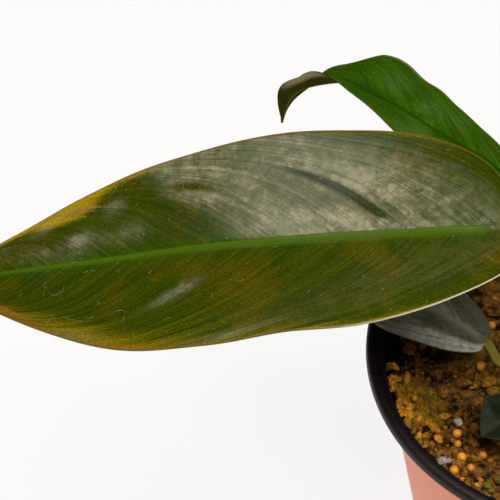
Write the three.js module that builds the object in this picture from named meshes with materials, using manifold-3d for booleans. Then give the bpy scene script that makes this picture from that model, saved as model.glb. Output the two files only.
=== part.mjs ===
// A potted imperial red philodendron: a rosette of glossy leaves on one short stem, in a black
// nursery pot whose collar rests on the rim of a tapered cover pot. Millimetres, +Z up, the
// origin at the centre of the cover pot's base.
import * as THREE from 'three';
import { mergeVertices } from 'three/addons/utils/BufferGeometryUtils.js';
import Module from 'manifold-3d';

const wasm = await Module();
wasm.setup();

const TAU = Math.PI * 2;
const POT_SIDES = 44;
const SOIL_TOP = 91.5;        // mean height of the soil
const HOLE_RADIUS = 7.1;      // the plain hole in the soil that the stem stands in
const STEM_FOOT = 58.4;
const STEM_TOP = 129;

// The pots' outlines, [radius, height], from the axis round the wall and back to the axis.
const COVER_OUTLINE = [
  [0, 0], [34.4, 0], [35.8, 1.8], [52.4, 86.8], [52.2, 87.7], [51.6, 88.2], [50.9, 88.1], [50.6, 87.4],
  [34.2, 5.0], [32.8, 3.4], [0, 3.4],
];
const NURSERY_OUTLINE = [
  [0, 10], [31.2, 10], [32.6, 11.4], [49.8, 87.8], [50.2, 88.6], [53.6, 88.9], [54.4, 89.8], [55.3, 95.0],
  [59.2, 95.2], [60, 95.7], [60, 98.4], [59.3, 99.4], [57.4, 99.5], [56.3, 98.8], [54.2, 95.4], [53.4, 90.0],
  [48.9, 89.0], [48.4, 88.0], [31.4, 11.6], [0, 11.6],
];
const SOIL_FOOT = [31.0, 12];
const SOIL_SHOULDER = [47.9, 89.2];
const SOIL_EDGE = [52.8, 90.9];

const DRAINS = { count: 6, ring: 21, radius: 3.2, sides: 14 };

// A seeded draw between 0 and 1.
function seeded(seed) {
  let state = seed >>> 0;
  return () => {
    state = (state + 0x6d2b79f5) >>> 0;
    let v = Math.imul(state ^ (state >>> 15), 1 | state);
    v = (v + Math.imul(v ^ (v >>> 7), 61 | v)) ^ v;
    return ((v ^ (v >>> 14)) >>> 0) / 4294967296;
  };
}

const smooth = (v) => THREE.MathUtils.smoothstep(v, 0, 1);
const clamp = THREE.MathUtils.clamp;
const radians = THREE.MathUtils.degToRad;

// A uniform Catmull-Rom curve through points, and the same through evenly keyed numbers.
const curveThrough = (points) => new THREE.CatmullRomCurve3(
  points.map((p) => new THREE.Vector3(...p)), false, 'catmullrom', 0.5,
);
const keyed = (values, t) => curveThrough(values.map((v) => [v, 0, 0])).getPoint(clamp(t, 0, 1)).x;

// A geometry with only its positions, shared corners merged and empty triangles dropped.
function welded(geometry) {
  const bare = geometry.clone();
  bare.deleteAttribute('normal');
  bare.deleteAttribute('uv');
  const merged = mergeVertices(bare, 1e-4);
  const corners = merged.index.array;
  const kept = [];
  for (let i = 0; i < corners.length; i += 3) {
    const [a, b, c] = [corners[i], corners[i + 1], corners[i + 2]];
    if (a !== b && b !== c && c !== a) kept.push(a, b, c);
  }
  merged.setIndex(kept);
  return merged;
}

const solidOf = (geometry) => new wasm.Manifold(new wasm.Mesh({
  numProp: 3,
  vertProperties: Float32Array.from(geometry.attributes.position.array),
  triVerts: Uint32Array.from(geometry.index.array),
}));

function geometryOf(solid) {
  const { vertProperties, triVerts } = solid.getMesh();
  const geometry = new THREE.BufferGeometry();
  geometry.setAttribute('position', new THREE.BufferAttribute(Float32Array.from(vertProperties), 3));
  geometry.setIndex(Array.from(triVerts));
  return geometry;
}

function piece(name, geometry, finish) {
  const mesh = new THREE.Mesh(geometry, new THREE.MeshStandardMaterial({ flatShading: true, ...finish }));
  mesh.geometry.computeVertexNormals();
  mesh.name = name;
  return mesh;
}

// A turned body with its axis on +Z.
const turned = (outline, sides) => welded(new THREE.LatheGeometry(
  outline.map(([r, z]) => new THREE.Vector2(r, z)), sides,
).rotateX(Math.PI / 2));

// A closed skin over rings of points that all have the same count, with a fan at each end.
function skin(rings) {
  const count = rings[0].length;
  const points = rings.flat();
  const corners = [];
  for (let j = 0; j + 1 < rings.length; j += 1) {
    for (let i = 0; i < count; i += 1) {
      const a = j * count + i;
      const b = j * count + ((i + 1) % count);
      corners.push(a, b, b + count, a, b + count, a + count);
    }
  }
  const centre = (ring) => ring.reduce((sum, p) => sum.add(p), new THREE.Vector3()).divideScalar(count);
  points.push(centre(rings[0]), centre(rings[rings.length - 1]));
  const first = points.length - 2;
  const lastRow = (rings.length - 1) * count;
  for (let i = 0; i < count; i += 1) {
    const next = (i + 1) % count;
    corners.push(first, next, i, first + 1, lastRow + i, lastRow + next);
  }
  return new THREE.BufferGeometry().setFromPoints(points).setIndex(corners);
}

const coverPot = () => piece('cover_pot', turned(COVER_OUTLINE, POT_SIDES), {
  color: 0xdd9070, roughness: 0.6, metalness: 0,
});

function nurseryPot() {
  let solid = solidOf(turned(NURSERY_OUTLINE, POT_SIDES));
  for (let k = 0; k < DRAINS.count; k += 1) {
    const a = (TAU * (k + 0.5)) / DRAINS.count;
    const drain = new THREE.CylinderGeometry(DRAINS.radius, DRAINS.radius, 6, DRAINS.sides)
      .rotateX(Math.PI / 2).translate(DRAINS.ring * Math.cos(a), DRAINS.ring * Math.sin(a), 11);
    solid = solid.subtract(solidOf(welded(drain)));
  }
  return piece('nursery_pot', geometryOf(solid), { color: 0x1d1b1b, roughness: 0.55, metalness: 0 });
}

// The soil's top: low lumps that settle toward the wall.
function soilHeight(x, y) {
  const r = Math.hypot(x, y);
  const lumps = 0.55 * Math.sin(x * 0.42 + 1.1) * Math.sin(y * 0.37 + 0.4)
    + 0.5 * Math.sin(x * 0.19 - y * 0.27 + 2.0) + 0.35 * Math.sin(x * 0.71 + y * 0.55);
  const dome = 0.3 * Math.cos((Math.PI * Math.min(r, 50)) / 50) + 0.006 * r * Math.sin(3 * Math.atan2(y, x));
  return SOIL_TOP + dome + lumps * (1 - 0.6 * smooth((r - 36) / 12));
}

// Feed beads and perlite that show in front of the stem: x, y and radius.
const BEADS_IN_FRONT = [
  [-24.4, 0.5, 1.5], [-33.4, -31.3, 1.5], [-36.0, -35.6, 1.4], [-34.1, -23.7, 1.4], [-31.1, -35.0, 1.2],
  [-19.4, 15.8, 1.4], [-27.2, -30.9, 1.3], [-45.5, 5.7, 1.2], [-41.6, 8.6, 1.1], [-50.5, -7.2, 1.2],
  [-45.6, -10.9, 1.1], [-34.1, -26.8, 1.2], [-33.2, -19.9, 1.4], [-39.0, -32.6, 1.5],
];

function soilCrumbs() {
  const draw = seeded(36);
  const crumbs = BEADS_IN_FRONT.map(([x, y, size]) => new THREE.IcosahedronGeometry(size, 0)
    .rotateX(x).rotateZ(y).translate(x, y, soilHeight(x, y) + 0.4 * size));
  const beads = 20;
  const barks = 14;
  for (let k = 0; k < beads + barks; k += 1) {
    const r = 11 + (k < beads ? 35 : 28) * Math.sqrt(draw());
    const a = TAU * draw();
    const x = r * Math.cos(a);
    const y = r * Math.sin(a);
    const z = soilHeight(x, y);
    if (k < beads) {
      const size = 1.3 + 0.5 * draw();
      crumbs.push(new THREE.IcosahedronGeometry(size, 0).rotateX(3 * draw()).rotateZ(3 * draw())
        .translate(x, y, z + 0.25 * size));
    } else {
      crumbs.push(new THREE.BoxGeometry(5 + 5 * draw(), 2.6 + 1.5 * draw(), 1.9)
        .rotateX(0.24 * (draw() - 0.5)).rotateY(0.34 * (draw() - 0.5)).rotateZ(TAU * draw())
        .translate(x, y, z + 0.35));
    }
  }
  return crumbs.map((crumb) => solidOf(welded(crumb)));
}

function soil() {
  const around = 42;
  const rows = [...[9, 15, 21, 27, 32.5, 37.5, 42, 45.5, 48.5].map((r) => [r, null]),
    SOIL_EDGE, SOIL_SHOULDER, SOIL_FOOT];
  const points = [new THREE.Vector3(0, 0, soilHeight(0, 0))];
  rows.forEach(([r, z]) => {
    for (let k = 0; k < around; k += 1) {
      const x = r * Math.cos((TAU * k) / around);
      const y = r * Math.sin((TAU * k) / around);
      points.push(new THREE.Vector3(x, y, z ?? soilHeight(x, y)));
    }
  });
  points.push(new THREE.Vector3(0, 0, SOIL_FOOT[1]));
  const corners = [];
  const last = 1 + (rows.length - 1) * around;
  for (let k = 0; k < around; k += 1) {
    const n = (k + 1) % around;
    corners.push(0, 1 + k, 1 + n, points.length - 1, last + n, last + k);
    for (let row = 1; row < last; row += around) {
      corners.push(row + k, row + around + k, row + around + n, row + k, row + around + n, row + n);
    }
  }
  const ground = solidOf(new THREE.BufferGeometry().setFromPoints(points).setIndex(corners));
  const hole = new THREE.CylinderGeometry(HOLE_RADIUS, HOLE_RADIUS, 50, 20).rotateX(Math.PI / 2)
    .translate(0, 0, 83);
  const solid = wasm.Manifold.union([ground, ...soilCrumbs()]).subtract(solidOf(welded(hole)));
  return piece('soil', geometryOf(solid), { color: 0x4a3012, roughness: 0.95, metalness: 0 });
}

// Rings of old leaf scars above the soil, on a stem that thins toward the top.
function stemRadius(z) {
  const plain = z < 92 ? 6.2 : 6.2 - 1.9 * smooth((z - 92) / 34);
  return plain + 0.28 * Math.cos((TAU * (z - 90)) / 4.5);
}

function stem() {
  const outline = [[0, STEM_FOOT], [4.6, STEM_FOOT], [6.0, STEM_FOOT + 1.6], [6.3, 72]];
  for (let z = 87.75; z < STEM_TOP - 3; z += 2.25) outline.push([stemRadius(z), z]);
  outline.push([3.4, STEM_TOP - 0.6], [0, STEM_TOP]);
  return piece('stem', turned(outline, 20), { color: 0x5d6b2c, roughness: 0.6, metalness: 0 });
}

// The room that the leaf bases keep clear round the stem.
const stemRoom = () => solidOf(turned([
  [0, 80], [6.9, 80], [6.9, 93], [5.2, 124], [5.0, 135], [0, 135],
], 24));

// Half width along the blade: a round base, the belly, then a long taper to the point.
function bladeWidth(leaf, t) {
  const shape = t < leaf.belly
    ? Math.sqrt(clamp(1 - (1 - t / leaf.belly) ** 2, 0, 1))
    : 1 - ((t - leaf.belly) / (1 - leaf.belly)) ** leaf.taper;
  return leaf.width * shape;
}

// The middle, direction, upper face and right-hand side of a leaf at any place on its way.
function leafFrames(leaf) {
  const way = curveThrough([...leaf.stalk, ...leaf.spine]);
  const faces = curveThrough(leaf.face);
  const joint = leaf.stalk.length / (way.points.length - 1);
  const frame = (x, t) => {
    const along = way.getPoint(Math.min(1, x + 1e-3)).sub(way.getPoint(Math.max(0, x - 1e-3))).normalize();
    const face = faces.getPoint(t);
    face.addScaledVector(along, -face.dot(along)).normalize();
    return { middle: way.getPoint(x), along, face, side: along.clone().cross(face) };
  };
  return { joint, frame };
}

// One leaf is one body: the stalk's ring of points widens into the blade, whose base lobes sweep
// back beside the stalk, and the stalk runs on as a keel under the blade.
function leafRings(leaf) {
  const { joint, frame } = leafFrames(leaf);
  const half = leaf.columns;
  const stations = [...half.slice(1).reverse().map((v) => -v), ...half];
  const around = (m) => Math.cos(radians(80 * m));
  const put = (f, across, up, back) => f.middle.clone().addScaledVector(f.side, across)
    .addScaledVector(f.face, up).addScaledVector(f.along, -back);
  const rings = [];

  leaf.stalkRows.forEach((u) => {
    const f = frame(u * joint, 0);
    const radius = leaf.stalkRadius * (1 + 0.75 * (1 - smooth(u / 0.35)) + 0.15 * (1 - u));
    const out = (s) => radius * Math.sin(radians(80 * s));
    const top = stations.map((s) => put(f, out(s), 0.72 * radius * around(s), 0));
    const under = stations.map((s) => put(f, out(s), -radius * around(s), 0));
    rings.push([...top, ...under.reverse()]);
  });

  leaf.bladeRows.forEach((t) => {
    const f = frame(joint + (1 - joint) * t, t);
    const radius = leaf.stalkRadius;
    const open = smooth(t / 0.05);
    const keelDepth = (1 - open) * radius * 0.55 + 0.69 * radius * (1 - t) ** 1.3 * open;
    const keelWidth = 1.1 * radius * (1 - 0.75 * t) + 0.2;
    const fold = radians(keyed(leaf.fold, t));
    const point = (s, isTop) => {
      const m = Math.abs(s);
      const [factors, droop, phase] = s >= 0
        ? [leaf.right, leaf.droopRight, leaf.wave.right] : [leaf.left, leaf.droopLeft, leaf.wave.left];
      const width = Math.max(0.45, bladeWidth(leaf, t) * keyed(factors, t) + radius * (1 - t));
      const d = m * width;
      const { height, count } = leaf.wave;
      const wave = height * Math.sin(Math.PI * t) * Math.sin(TAU * (count * t + phase)) * m ** 3;
      const round = (1 - open) * 0.7 * radius * around(m);
      const top = d * Math.sin(fold) - keyed(droop, t) * m ** 2.2 + wave + round;
      const keel = keelDepth * clamp(1 - (d / keelWidth) ** 2, 0, 1);
      const back = leaf.lobe * clamp(1 - t / 0.32, 0, 1) ** 2 * (d / (0.55 * leaf.width)) ** 1.3;
      const up = isTop ? top : top - leaf.thickness - keel - round;
      return put(f, Math.sign(s) * d * Math.cos(fold), up, back);
    };
    const top = stations.map((s) => point(s, true));
    const under = stations.map((s) => point(s, false));
    rings.push([...top, ...under.reverse()]);
  });
  return rings;
}

const evenRows = (count) => {
  const rows = [0, 0.008, 0.022, 0.045, 0.075, 0.115];
  for (let k = 1; k <= count; k += 1) rows.push(0.115 + 0.885 * (1 - (1 - k / count) ** 1.12));
  return rows;
};

const common = {
  columns: [0, 0.065, 0.36, 0.7, 1],
  stalkRows: [0, 0.14, 0.3, 0.5, 0.72, 0.9],
  bladeRows: evenRows(15),
  stalkRadius: 1.8,
  thickness: 0.85,
  lobe: 11,
  belly: 0.42,
  taper: 1.8,
  right: [1, 1, 1],
  left: [1, 1, 1],
  fold: [15, 12, 9, 6],
  droopRight: [0, 2, 3, 1],
  droopLeft: [0, 2, 3, 1],
  wave: { height: 1.4, count: 3.3, right: 0.1, left: 0.6 },
};
const flat = { height: 0, count: 1, right: 0, left: 0 };

// A leaf out along its azimuth, up, and over to a hanging point.
function archedLeaf(name, azimuth, foot, shape) {
  const a = radians(azimuth);
  const { stalkOut, stalkUp, length, rise, fall, sway, bank } = shape;
  const at = (out, z, aside = 0) => [
    out * Math.cos(a) - aside * Math.sin(a), out * Math.sin(a) + aside * Math.cos(a), z,
  ];
  const stalk = [
    at(3.4, foot), at(3.4 + 0.3 * stalkOut, foot + 0.42 * stalkUp),
    at(3.4 + 0.66 * stalkOut, foot + 0.8 * stalkUp),
  ];
  const spine = [];
  for (let k = 0; k <= 6; k += 1) {
    const t = k / 6;
    const out = 3.4 + stalkOut + length * (t - 0.1 * t * t);
    const up = foot + stalkUp + rise * Math.sin(Math.PI * 0.75 * t) - fall * t ** 2.4;
    spine.push(at(out, up, sway * t * t));
  }
  const lean = [-bank * Math.sin(a), bank * Math.cos(a), 1];
  const tipLean = [-bank * Math.sin(a) + 0.5 * Math.cos(a), bank * Math.cos(a) + 0.5 * Math.sin(a), 1];
  return { ...common, name, stalk, spine, face: [lean, lean, tipLean], ...shape.form };
}

const leaves = [
  {
    ...common,
    name: 'leaf_front_left',
    columns: [0, 0.06, 0.3, 0.55, 0.78, 1],
    bladeRows: evenRows(20),
    stalkRadius: 1.9,
    width: 28.5,
    belly: 0.44,
    taper: 1.85,
    lobe: 12,
    stalk: [[-3.2, -0.6, 113], [-8.5, -1.8, 124], [-15.5, -3.8, 138], [-22.5, -6.0, 153]],
    spine: [
      [-30.6, -8.5, 166], [-57, -14.5, 172], [-83, -18, 174], [-108.4, -19.2, 172], [-134, -18.6, 166],
      [-159, -15.6, 157.5], [-181, -11, 147],
    ],
    face: [[0, -0.3, 1], [0, -0.27, 1], [0, -0.25, 1], [0, -0.22, 1], [0, -0.2, 1]],
    right: [0.98, 1.13, 1.05, 0.96, 0.88, 0.85, 0.81, 0.76, 0.8],
    left: [0.75, 0.89, 0.98, 0.93, 1.0, 1.07, 0.98, 0.85, 0.8],
    fold: [16, 12, 10, 8, 4, 6],
    droopRight: [0, 0, 0],
    droopLeft: [0, 0, 0],
    wave: flat,
  },
  {
    ...common,
    name: 'leaf_back_left',
    bladeRows: evenRows(18),
    stalkRadius: 1.6,
    width: 17.5,
    lobe: 7,
    belly: 0.4,
    taper: 1.4,
    stalk: [[-1.6, 2.6, 122], [-4.4, 6.6, 130.5], [-9.4, 12.0, 140]],
    spine: [
      [-16.1, 17.7, 149], [-26.3, 24.7, 155.5], [-34.9, 29.7, 158.4], [-43.1, 35, 160.1],
      [-50.7, 41.4, 161.2], [-58.2, 47.8, 160.9], [-66.3, 55.5, 159.6], [-73.5, 60.9, 154.2],
      [-80.2, 63.7, 148.8], [-83.7, 66.9, 140.5], [-85.3, 69.8, 128.8],
    ],
    face: [
      [0.35, 0.10, 0.91], [0.35, 0.20, 0.93], [0.37, 0.26, 0.87], [0.28, 0.33, 0.92],
      [-0.10, 0.62, 0.72], [-0.63, 0.59, 0.17],
    ],
    right: [0.82, 0.86, 0.95, 1.01, 1.13, 1.05, 0.98, 0.87],
    left: [0.95, 1.05, 1.11, 1.04, 0.93, 0.82, 0.73, 0.61],
    fold: [14, 14, 12, 6],
    droopRight: [3.3, 3.4, 1.85, 0, -3.0, -1.8, 0.2, -1.0],
    droopLeft: [2.2, 3.3, 3.5, 1.15, -0.65, -1.1, -1.15, 0.2],
    wave: flat,
  },
  {
    ...common,
    name: 'leaf_low_left',
    stalkRadius: 1.5,
    width: 15.5,
    belly: 0.36,
    lobe: 4,
    stalk: [[-3.4, 1.2, 98], [-12.5, -3.2, 98.5], [-20.2, -4.2, 100.5]],
    spine: [
      [-25.1, 0.6, 105], [-40.3, 7.2, 112], [-54.7, 15.3, 116], [-67.9, 23.8, 117],
      [-79.8, 32.7, 114], [-90.5, 42, 108],
    ],
    face: [[0, -0.1, 1], [0, -0.1, 1], [0, 0, 1]],
    right: [0.55, 0.78, 0.95, 1, 0.87, 0.82, 0.82],
    left: [0.5, 0.81, 0.87, 0.5, 0.46, 0.5, 0.55],
    fold: [8, 8, 6, 4],
    wave: { height: 1, count: 3.3, right: 0.1, left: 0.6 },
  },
  {
    ...common,
    name: 'leaf_small_front',
    bladeRows: evenRows(9),
    columns: [0, 0.12, 0.5, 1],
    stalkRows: [0, 0.35, 0.75],
    stalkRadius: 1.0,
    width: 5.8,
    lobe: 2,
    thickness: 0.8,
    stalk: [[-3.4, -4.8, 95.2], [-10.5, -14.0, 98.6]],
    spine: [[-17.6, -20.8, 102.5], [-22.7, -26.8, 103.4], [-28.9, -30.6, 101.5]],
    face: [[0, 0, 1], [0, 0, 1], [0, 0, 1]],
    right: [1.05, 1.37, 1.4],
    left: [1.05, 1.39, 1.5],
    fold: [24, 22, 18],
    droopRight: [0, 0, 0],
    droopLeft: [0, 0, 0],
    wave: flat,
  },
  archedLeaf('leaf_low_right', 17, 99, {
    stalkOut: 26, stalkUp: 22, length: 112, rise: 16, fall: 34, sway: 6, bank: 0.1,
    form: { width: 25, wave: { height: 1.6, count: 3.2, right: 0.0, left: 0.55 } },
  }),
  archedLeaf('leaf_front_right', 293, 104.5, {
    stalkOut: 28, stalkUp: 30, length: 118, rise: 18, fall: 40, sway: -8, bank: -0.12,
    form: { width: 26, wave: { height: 1.5, count: 3.5, right: 0.3, left: 0.8 } },
  }),
  archedLeaf('leaf_back_right', 70, 109, {
    stalkOut: 26, stalkUp: 40, length: 122, rise: 20, fall: 36, sway: 8, bank: 0.05,
    form: { width: 26.5, wave: { height: 1.7, count: 3.1, right: 0.45, left: 0.05 } },
  }),
  archedLeaf('leaf_right', 345, 118, {
    stalkOut: 27, stalkUp: 46, length: 128, rise: 22, fall: 34, sway: -6, bank: 0.08,
    form: { width: 27, wave: { height: 1.5, count: 3.4, right: 0.7, left: 0.2 } },
  }),
];

// The rolled new leaf: a tapered scroll that stands on the stem's top.
function newLeaf() {
  const around = 16;
  const rows = 13;
  const way = curveThrough([
    [0.4, -0.4, 129.4], [1.8, -1.2, 146], [4.4, -2.0, 164], [8.6, -2.4, 182], [13.4, -2.4, 198],
  ]);
  const rings = [];
  for (let j = 0; j <= rows; j += 1) {
    const t = j / rows;
    const middle = way.getPoint(t);
    const along = way.getPoint(Math.min(1, t + 1e-3)).sub(way.getPoint(Math.max(0, t - 1e-3))).normalize();
    const side = new THREE.Vector3(0, 1, 0).cross(along).normalize();
    const other = along.clone().cross(side);
    const radius = 0.35 + keyed([2.7, 3.3, 3.5, 2.9, 1.5, 0.1], t);
    const ring = [];
    for (let k = 0; k < around; k += 1) {
      const a = (TAU * k) / around + 2.2 * t;
      const r = radius * (0.9 + (0.2 * k) / (around - 1));
      const across = middle.clone().addScaledVector(side, r * Math.cos(a));
      ring.push(across.addScaledVector(other, r * Math.sin(a)));
    }
    rings.push(ring);
  }
  return piece('new_leaf', skin(rings), { color: 0x7a2a1c, roughness: 0.35, metalness: 0 });
}

const group = new THREE.Group();
group.name = 'potted_philodendron';
group.add(coverPot(), nurseryPot(), soil(), stem());
const room = stemRoom();
leaves.forEach((leaf) => {
  const solid = solidOf(skin(leafRings(leaf))).subtract(room);
  group.add(piece(leaf.name, geometryOf(solid), { color: 0x3c5210, roughness: 0.32, metalness: 0 }));
});
group.add(newLeaf());

export default group;
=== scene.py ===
import math
import random

import bpy
import numpy as np
from mathutils import Euler, Matrix, Vector, noise


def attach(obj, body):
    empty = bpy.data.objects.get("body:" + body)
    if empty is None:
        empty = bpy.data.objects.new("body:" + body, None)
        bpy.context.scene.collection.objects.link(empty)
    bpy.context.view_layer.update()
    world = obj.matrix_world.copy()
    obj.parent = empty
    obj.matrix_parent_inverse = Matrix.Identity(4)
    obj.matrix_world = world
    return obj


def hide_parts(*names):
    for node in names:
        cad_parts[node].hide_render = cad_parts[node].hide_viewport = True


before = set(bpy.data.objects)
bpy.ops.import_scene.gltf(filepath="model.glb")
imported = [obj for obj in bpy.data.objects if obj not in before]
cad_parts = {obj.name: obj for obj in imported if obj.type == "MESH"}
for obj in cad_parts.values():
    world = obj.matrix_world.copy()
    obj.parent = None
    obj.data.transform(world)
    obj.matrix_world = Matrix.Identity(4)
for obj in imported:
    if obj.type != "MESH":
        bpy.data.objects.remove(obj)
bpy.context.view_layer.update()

bl_info = {
    "name": "Potted philodendron",
    "version": (1, 0, 0),
    "blender": (4, 5, 0),
    "location": "View3D > Sidebar > Plant",
    "description": "Dresses the packed plant: fine leaves, stem, potting mix, pots, light and camera",
    "category": "Object",
}

TAU = 2 * math.pi
MM = 0.001
UV_UNIT = 100.0             # millimetres to one unit of a leaf's own map

# Places that pieces share, in millimetres.
SOIL_TOP = 91.5             # mean height of the potting mix
SOIL_FOOT = 12.0
MIX_RADIUS = 52.5           # where its top meets the wall
CRUMB_INNER, CRUMB_OUTER = 8.6, 52.0
HOLE_RADIUS = 7.1           # the plain hole that the stem stands in
HOLE_FLOOR = 58.0
STEM_SIDE = 3.4             # where a stalk starts, inside the stem's bark
SCAR_START = 90.0           # the height of one of the stem's rings of leaf scars
SCAR_PITCH = 4.5            # from one ring to the next
VEIN_PITCH = 9.2            # from one lateral vein of a blade to the next
VEIN_TURN = 68.3            # the same step, in radians to one unit of a leaf's own map
OUT_OF_PICTURE = -17.0      # pieces of the mix left of this x are listed or heaped on their own
POT_SIDES = 160


# Shapes in millimetres, as in the part's source.

COMMON = dict(
    stalk_radius=1.8, thickness=0.85, lobe=11, belly=0.42, taper=1.8, right=[1, 1, 1], left=[1, 1, 1],
    fold=[15, 12, 9, 6], droop_right=[0, 2, 3, 1], droop_left=[0, 2, 3, 1],
    wave=(1.4, 3.3, 0.1, 0.6), rows=150, stations=41, seed=1, haze=0.24, age=0.35, creases=[],
    sunken=0.4, ripple=0.35,
)


def arched_leaf(node, azimuth, foot, stalk_out, stalk_up, length, rise, fall, sway, bank, **form):
    """A leaf that nothing pins to one place: out along its azimuth, up, and over to a hanging point."""
    a = math.radians(azimuth)

    def at(out, z, aside=0.0):
        return [out * math.cos(a) - aside * math.sin(a), out * math.sin(a) + aside * math.cos(a), z]

    stalk = [at(STEM_SIDE, foot), at(STEM_SIDE + 0.3 * stalk_out, foot + 0.42 * stalk_up),
             at(STEM_SIDE + 0.66 * stalk_out, foot + 0.8 * stalk_up)]
    spine = []
    for k in range(7):
        t = k / 6
        out = STEM_SIDE + stalk_out + length * (t - 0.1 * t * t)
        height = foot + stalk_up + rise * math.sin(math.pi * 0.75 * t) - fall * t ** 2.4
        spine.append(at(out, height, sway * t * t))
    lean = [-bank * math.sin(a), bank * math.cos(a), 1]
    tip_lean = [lean[0] + 0.5 * math.cos(a), lean[1] + 0.5 * math.sin(a), 1]
    return {**COMMON, "node": node, "stalk": stalk, "spine": spine, "face": [lean, lean, tip_lean], **form}


LEAVES = [
    {**COMMON, "node": "leaf_front_left", "rows": 330, "stations": 97, "stalk_radius": 1.9, "width": 28.5,
     "belly": 0.44, "taper": 1.85, "lobe": 12,
     "stalk": [[-3.2, -0.6, 113], [-8.5, -1.8, 124], [-15.5, -3.8, 138], [-22.5, -6.0, 153]],
     "spine": [[-30.6, -8.5, 166], [-57, -14.5, 172], [-83, -18, 174], [-108.4, -19.2, 172],
               [-134, -18.6, 166], [-159, -15.6, 157.5], [-181, -11, 147]],
     "face": [[0, -0.3, 1], [0, -0.27, 1], [0, -0.25, 1], [0, -0.22, 1], [0, -0.2, 1]],
     "right": [0.98, 1.13, 1.05, 0.96, 0.88, 0.85, 0.81, 0.76, 0.8],
     "left": [0.75, 0.89, 0.98, 0.93, 1.0, 1.07, 0.98, 0.85, 0.8],
     "fold": [16, 12, 10, 8, 4, 6], "droop_right": [0, 0, 0], "droop_left": [0, 0, 0],
     "wave": (0.0, 1, 0, 0), "sunken": 1.0, "ripple": 0.26,
     "creases": [(24.3, True, 0.12, 0.8, 1.7, 0.09), (0.6, True, 0.06, 0.5, 0.9, 0.03),
                 (17.0, False, 0.05, 0.8, 1.2, 0.03), (54.0, True, 0.5, 0.85, 1.6, 0.04)]},
    {**COMMON, "node": "leaf_back_left", "stalk_radius": 1.6, "width": 17.5, "lobe": 7, "belly": 0.4,
     "taper": 1.4, "seed": 2, "haze": 0.1, "age": 0.05, "rows": 220, "stations": 61,
     "stalk": [[-1.6, 2.6, 122], [-4.4, 6.6, 130.5], [-9.4, 12.0, 140]],
     "spine": [[-16.1, 17.7, 149], [-26.3, 24.7, 155.5], [-34.9, 29.7, 158.4], [-43.1, 35, 160.1],
               [-50.7, 41.4, 161.2], [-58.2, 47.8, 160.9], [-66.3, 55.5, 159.6], [-73.5, 60.9, 154.2],
               [-80.2, 63.7, 148.8], [-83.7, 66.9, 140.5], [-85.3, 69.8, 128.8]],
     "face": [[0.35, 0.1, 0.91], [0.35, 0.2, 0.93], [0.37, 0.26, 0.87], [0.28, 0.33, 0.92],
              [-0.1, 0.62, 0.72], [-0.63, 0.59, 0.17]],
     "right": [0.82, 0.86, 0.95, 1.01, 1.13, 1.05, 0.98, 0.87],
     "left": [0.95, 1.05, 1.11, 1.04, 0.93, 0.82, 0.73, 0.61], "fold": [14, 14, 12, 6],
     "droop_right": [3.3, 3.4, 1.85, 0, -3.0, -1.8, 0.2, -1.0],
     "droop_left": [2.2, 3.3, 3.5, 1.15, -0.65, -1.1, -1.15, 0.2], "wave": (0.0, 1, 0, 0)},
    {**COMMON, "node": "leaf_low_left", "stalk_radius": 1.5, "width": 15.5, "belly": 0.36, "lobe": 4,
     "seed": 3, "haze": 0.6, "age": 0.1,
     "stalk": [[-3.4, 1.2, 98], [-12.5, -3.2, 98.5], [-20.2, -4.2, 100.5]],
     "spine": [[-25.1, 0.6, 105], [-40.3, 7.2, 112], [-54.7, 15.3, 116], [-67.9, 23.8, 117],
               [-79.8, 32.7, 114], [-90.5, 42, 108]],
     "face": [[0, -0.1, 1], [0, -0.1, 1], [0, 0, 1]],
     "right": [0.55, 0.78, 0.95, 1, 0.87, 0.82, 0.82], "left": [0.5, 0.81, 0.87, 0.5, 0.46, 0.5, 0.55],
     "fold": [8, 8, 6, 4], "wave": (1.0, 3.3, 0.1, 0.6)},
    {**COMMON, "node": "leaf_small_front", "rows": 90, "stations": 31, "stalk_radius": 1.0, "width": 5.8,
     "lobe": 2, "thickness": 0.8, "seed": 4, "haze": 0.4, "age": 0.1,
     "stalk": [[-3.4, -4.8, 95.2], [-10.5, -14.0, 98.6]],
     "spine": [[-17.6, -20.8, 102.5], [-22.7, -26.8, 103.4], [-28.9, -30.6, 101.5]],
     "right": [1.05, 1.37, 1.4], "left": [1.05, 1.39, 1.5],
     "face": [[0, 0, 1], [0, 0, 1], [0, 0, 1]], "fold": [24, 22, 18], "wave": (0.0, 1, 0, 0),
     "droop_right": [0, 0, 0], "droop_left": [0, 0, 0]},
    arched_leaf("leaf_low_right", 17, 99, 26, 22, 112, 16, 34, 6, 0.1,
                width=25, wave=(1.6, 3.2, 0.0, 0.55), seed=5),
    arched_leaf("leaf_front_right", 293, 104.5, 28, 30, 118, 18, 40, -8, -0.12,
                width=26, wave=(1.5, 3.5, 0.3, 0.8), seed=6),
    arched_leaf("leaf_back_right", 70, 109, 26, 40, 122, 20, 36, 8, 0.05,
                width=26.5, wave=(1.7, 3.1, 0.45, 0.05), seed=7, haze=0.2, age=0.15),
    arched_leaf("leaf_right", 345, 118, 27, 46, 128, 22, 34, -6, 0.08,
                width=27, wave=(1.5, 3.4, 0.7, 0.2), seed=8, haze=0.15, age=0.1),
]

COVER_OUTLINE = [
    [0, 0], [34.0, 0], [35.0, 0.35], [35.6, 1.1], [36.0, 2.2], [52.35, 86.4], [52.4, 87.3], [52.1, 87.95],
    [51.5, 88.2], [50.95, 88.0], [50.7, 87.5], [50.55, 86.6], [34.4, 5.8], [33.9, 4.4], [32.6, 3.4], [0, 3.4],
]

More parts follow.
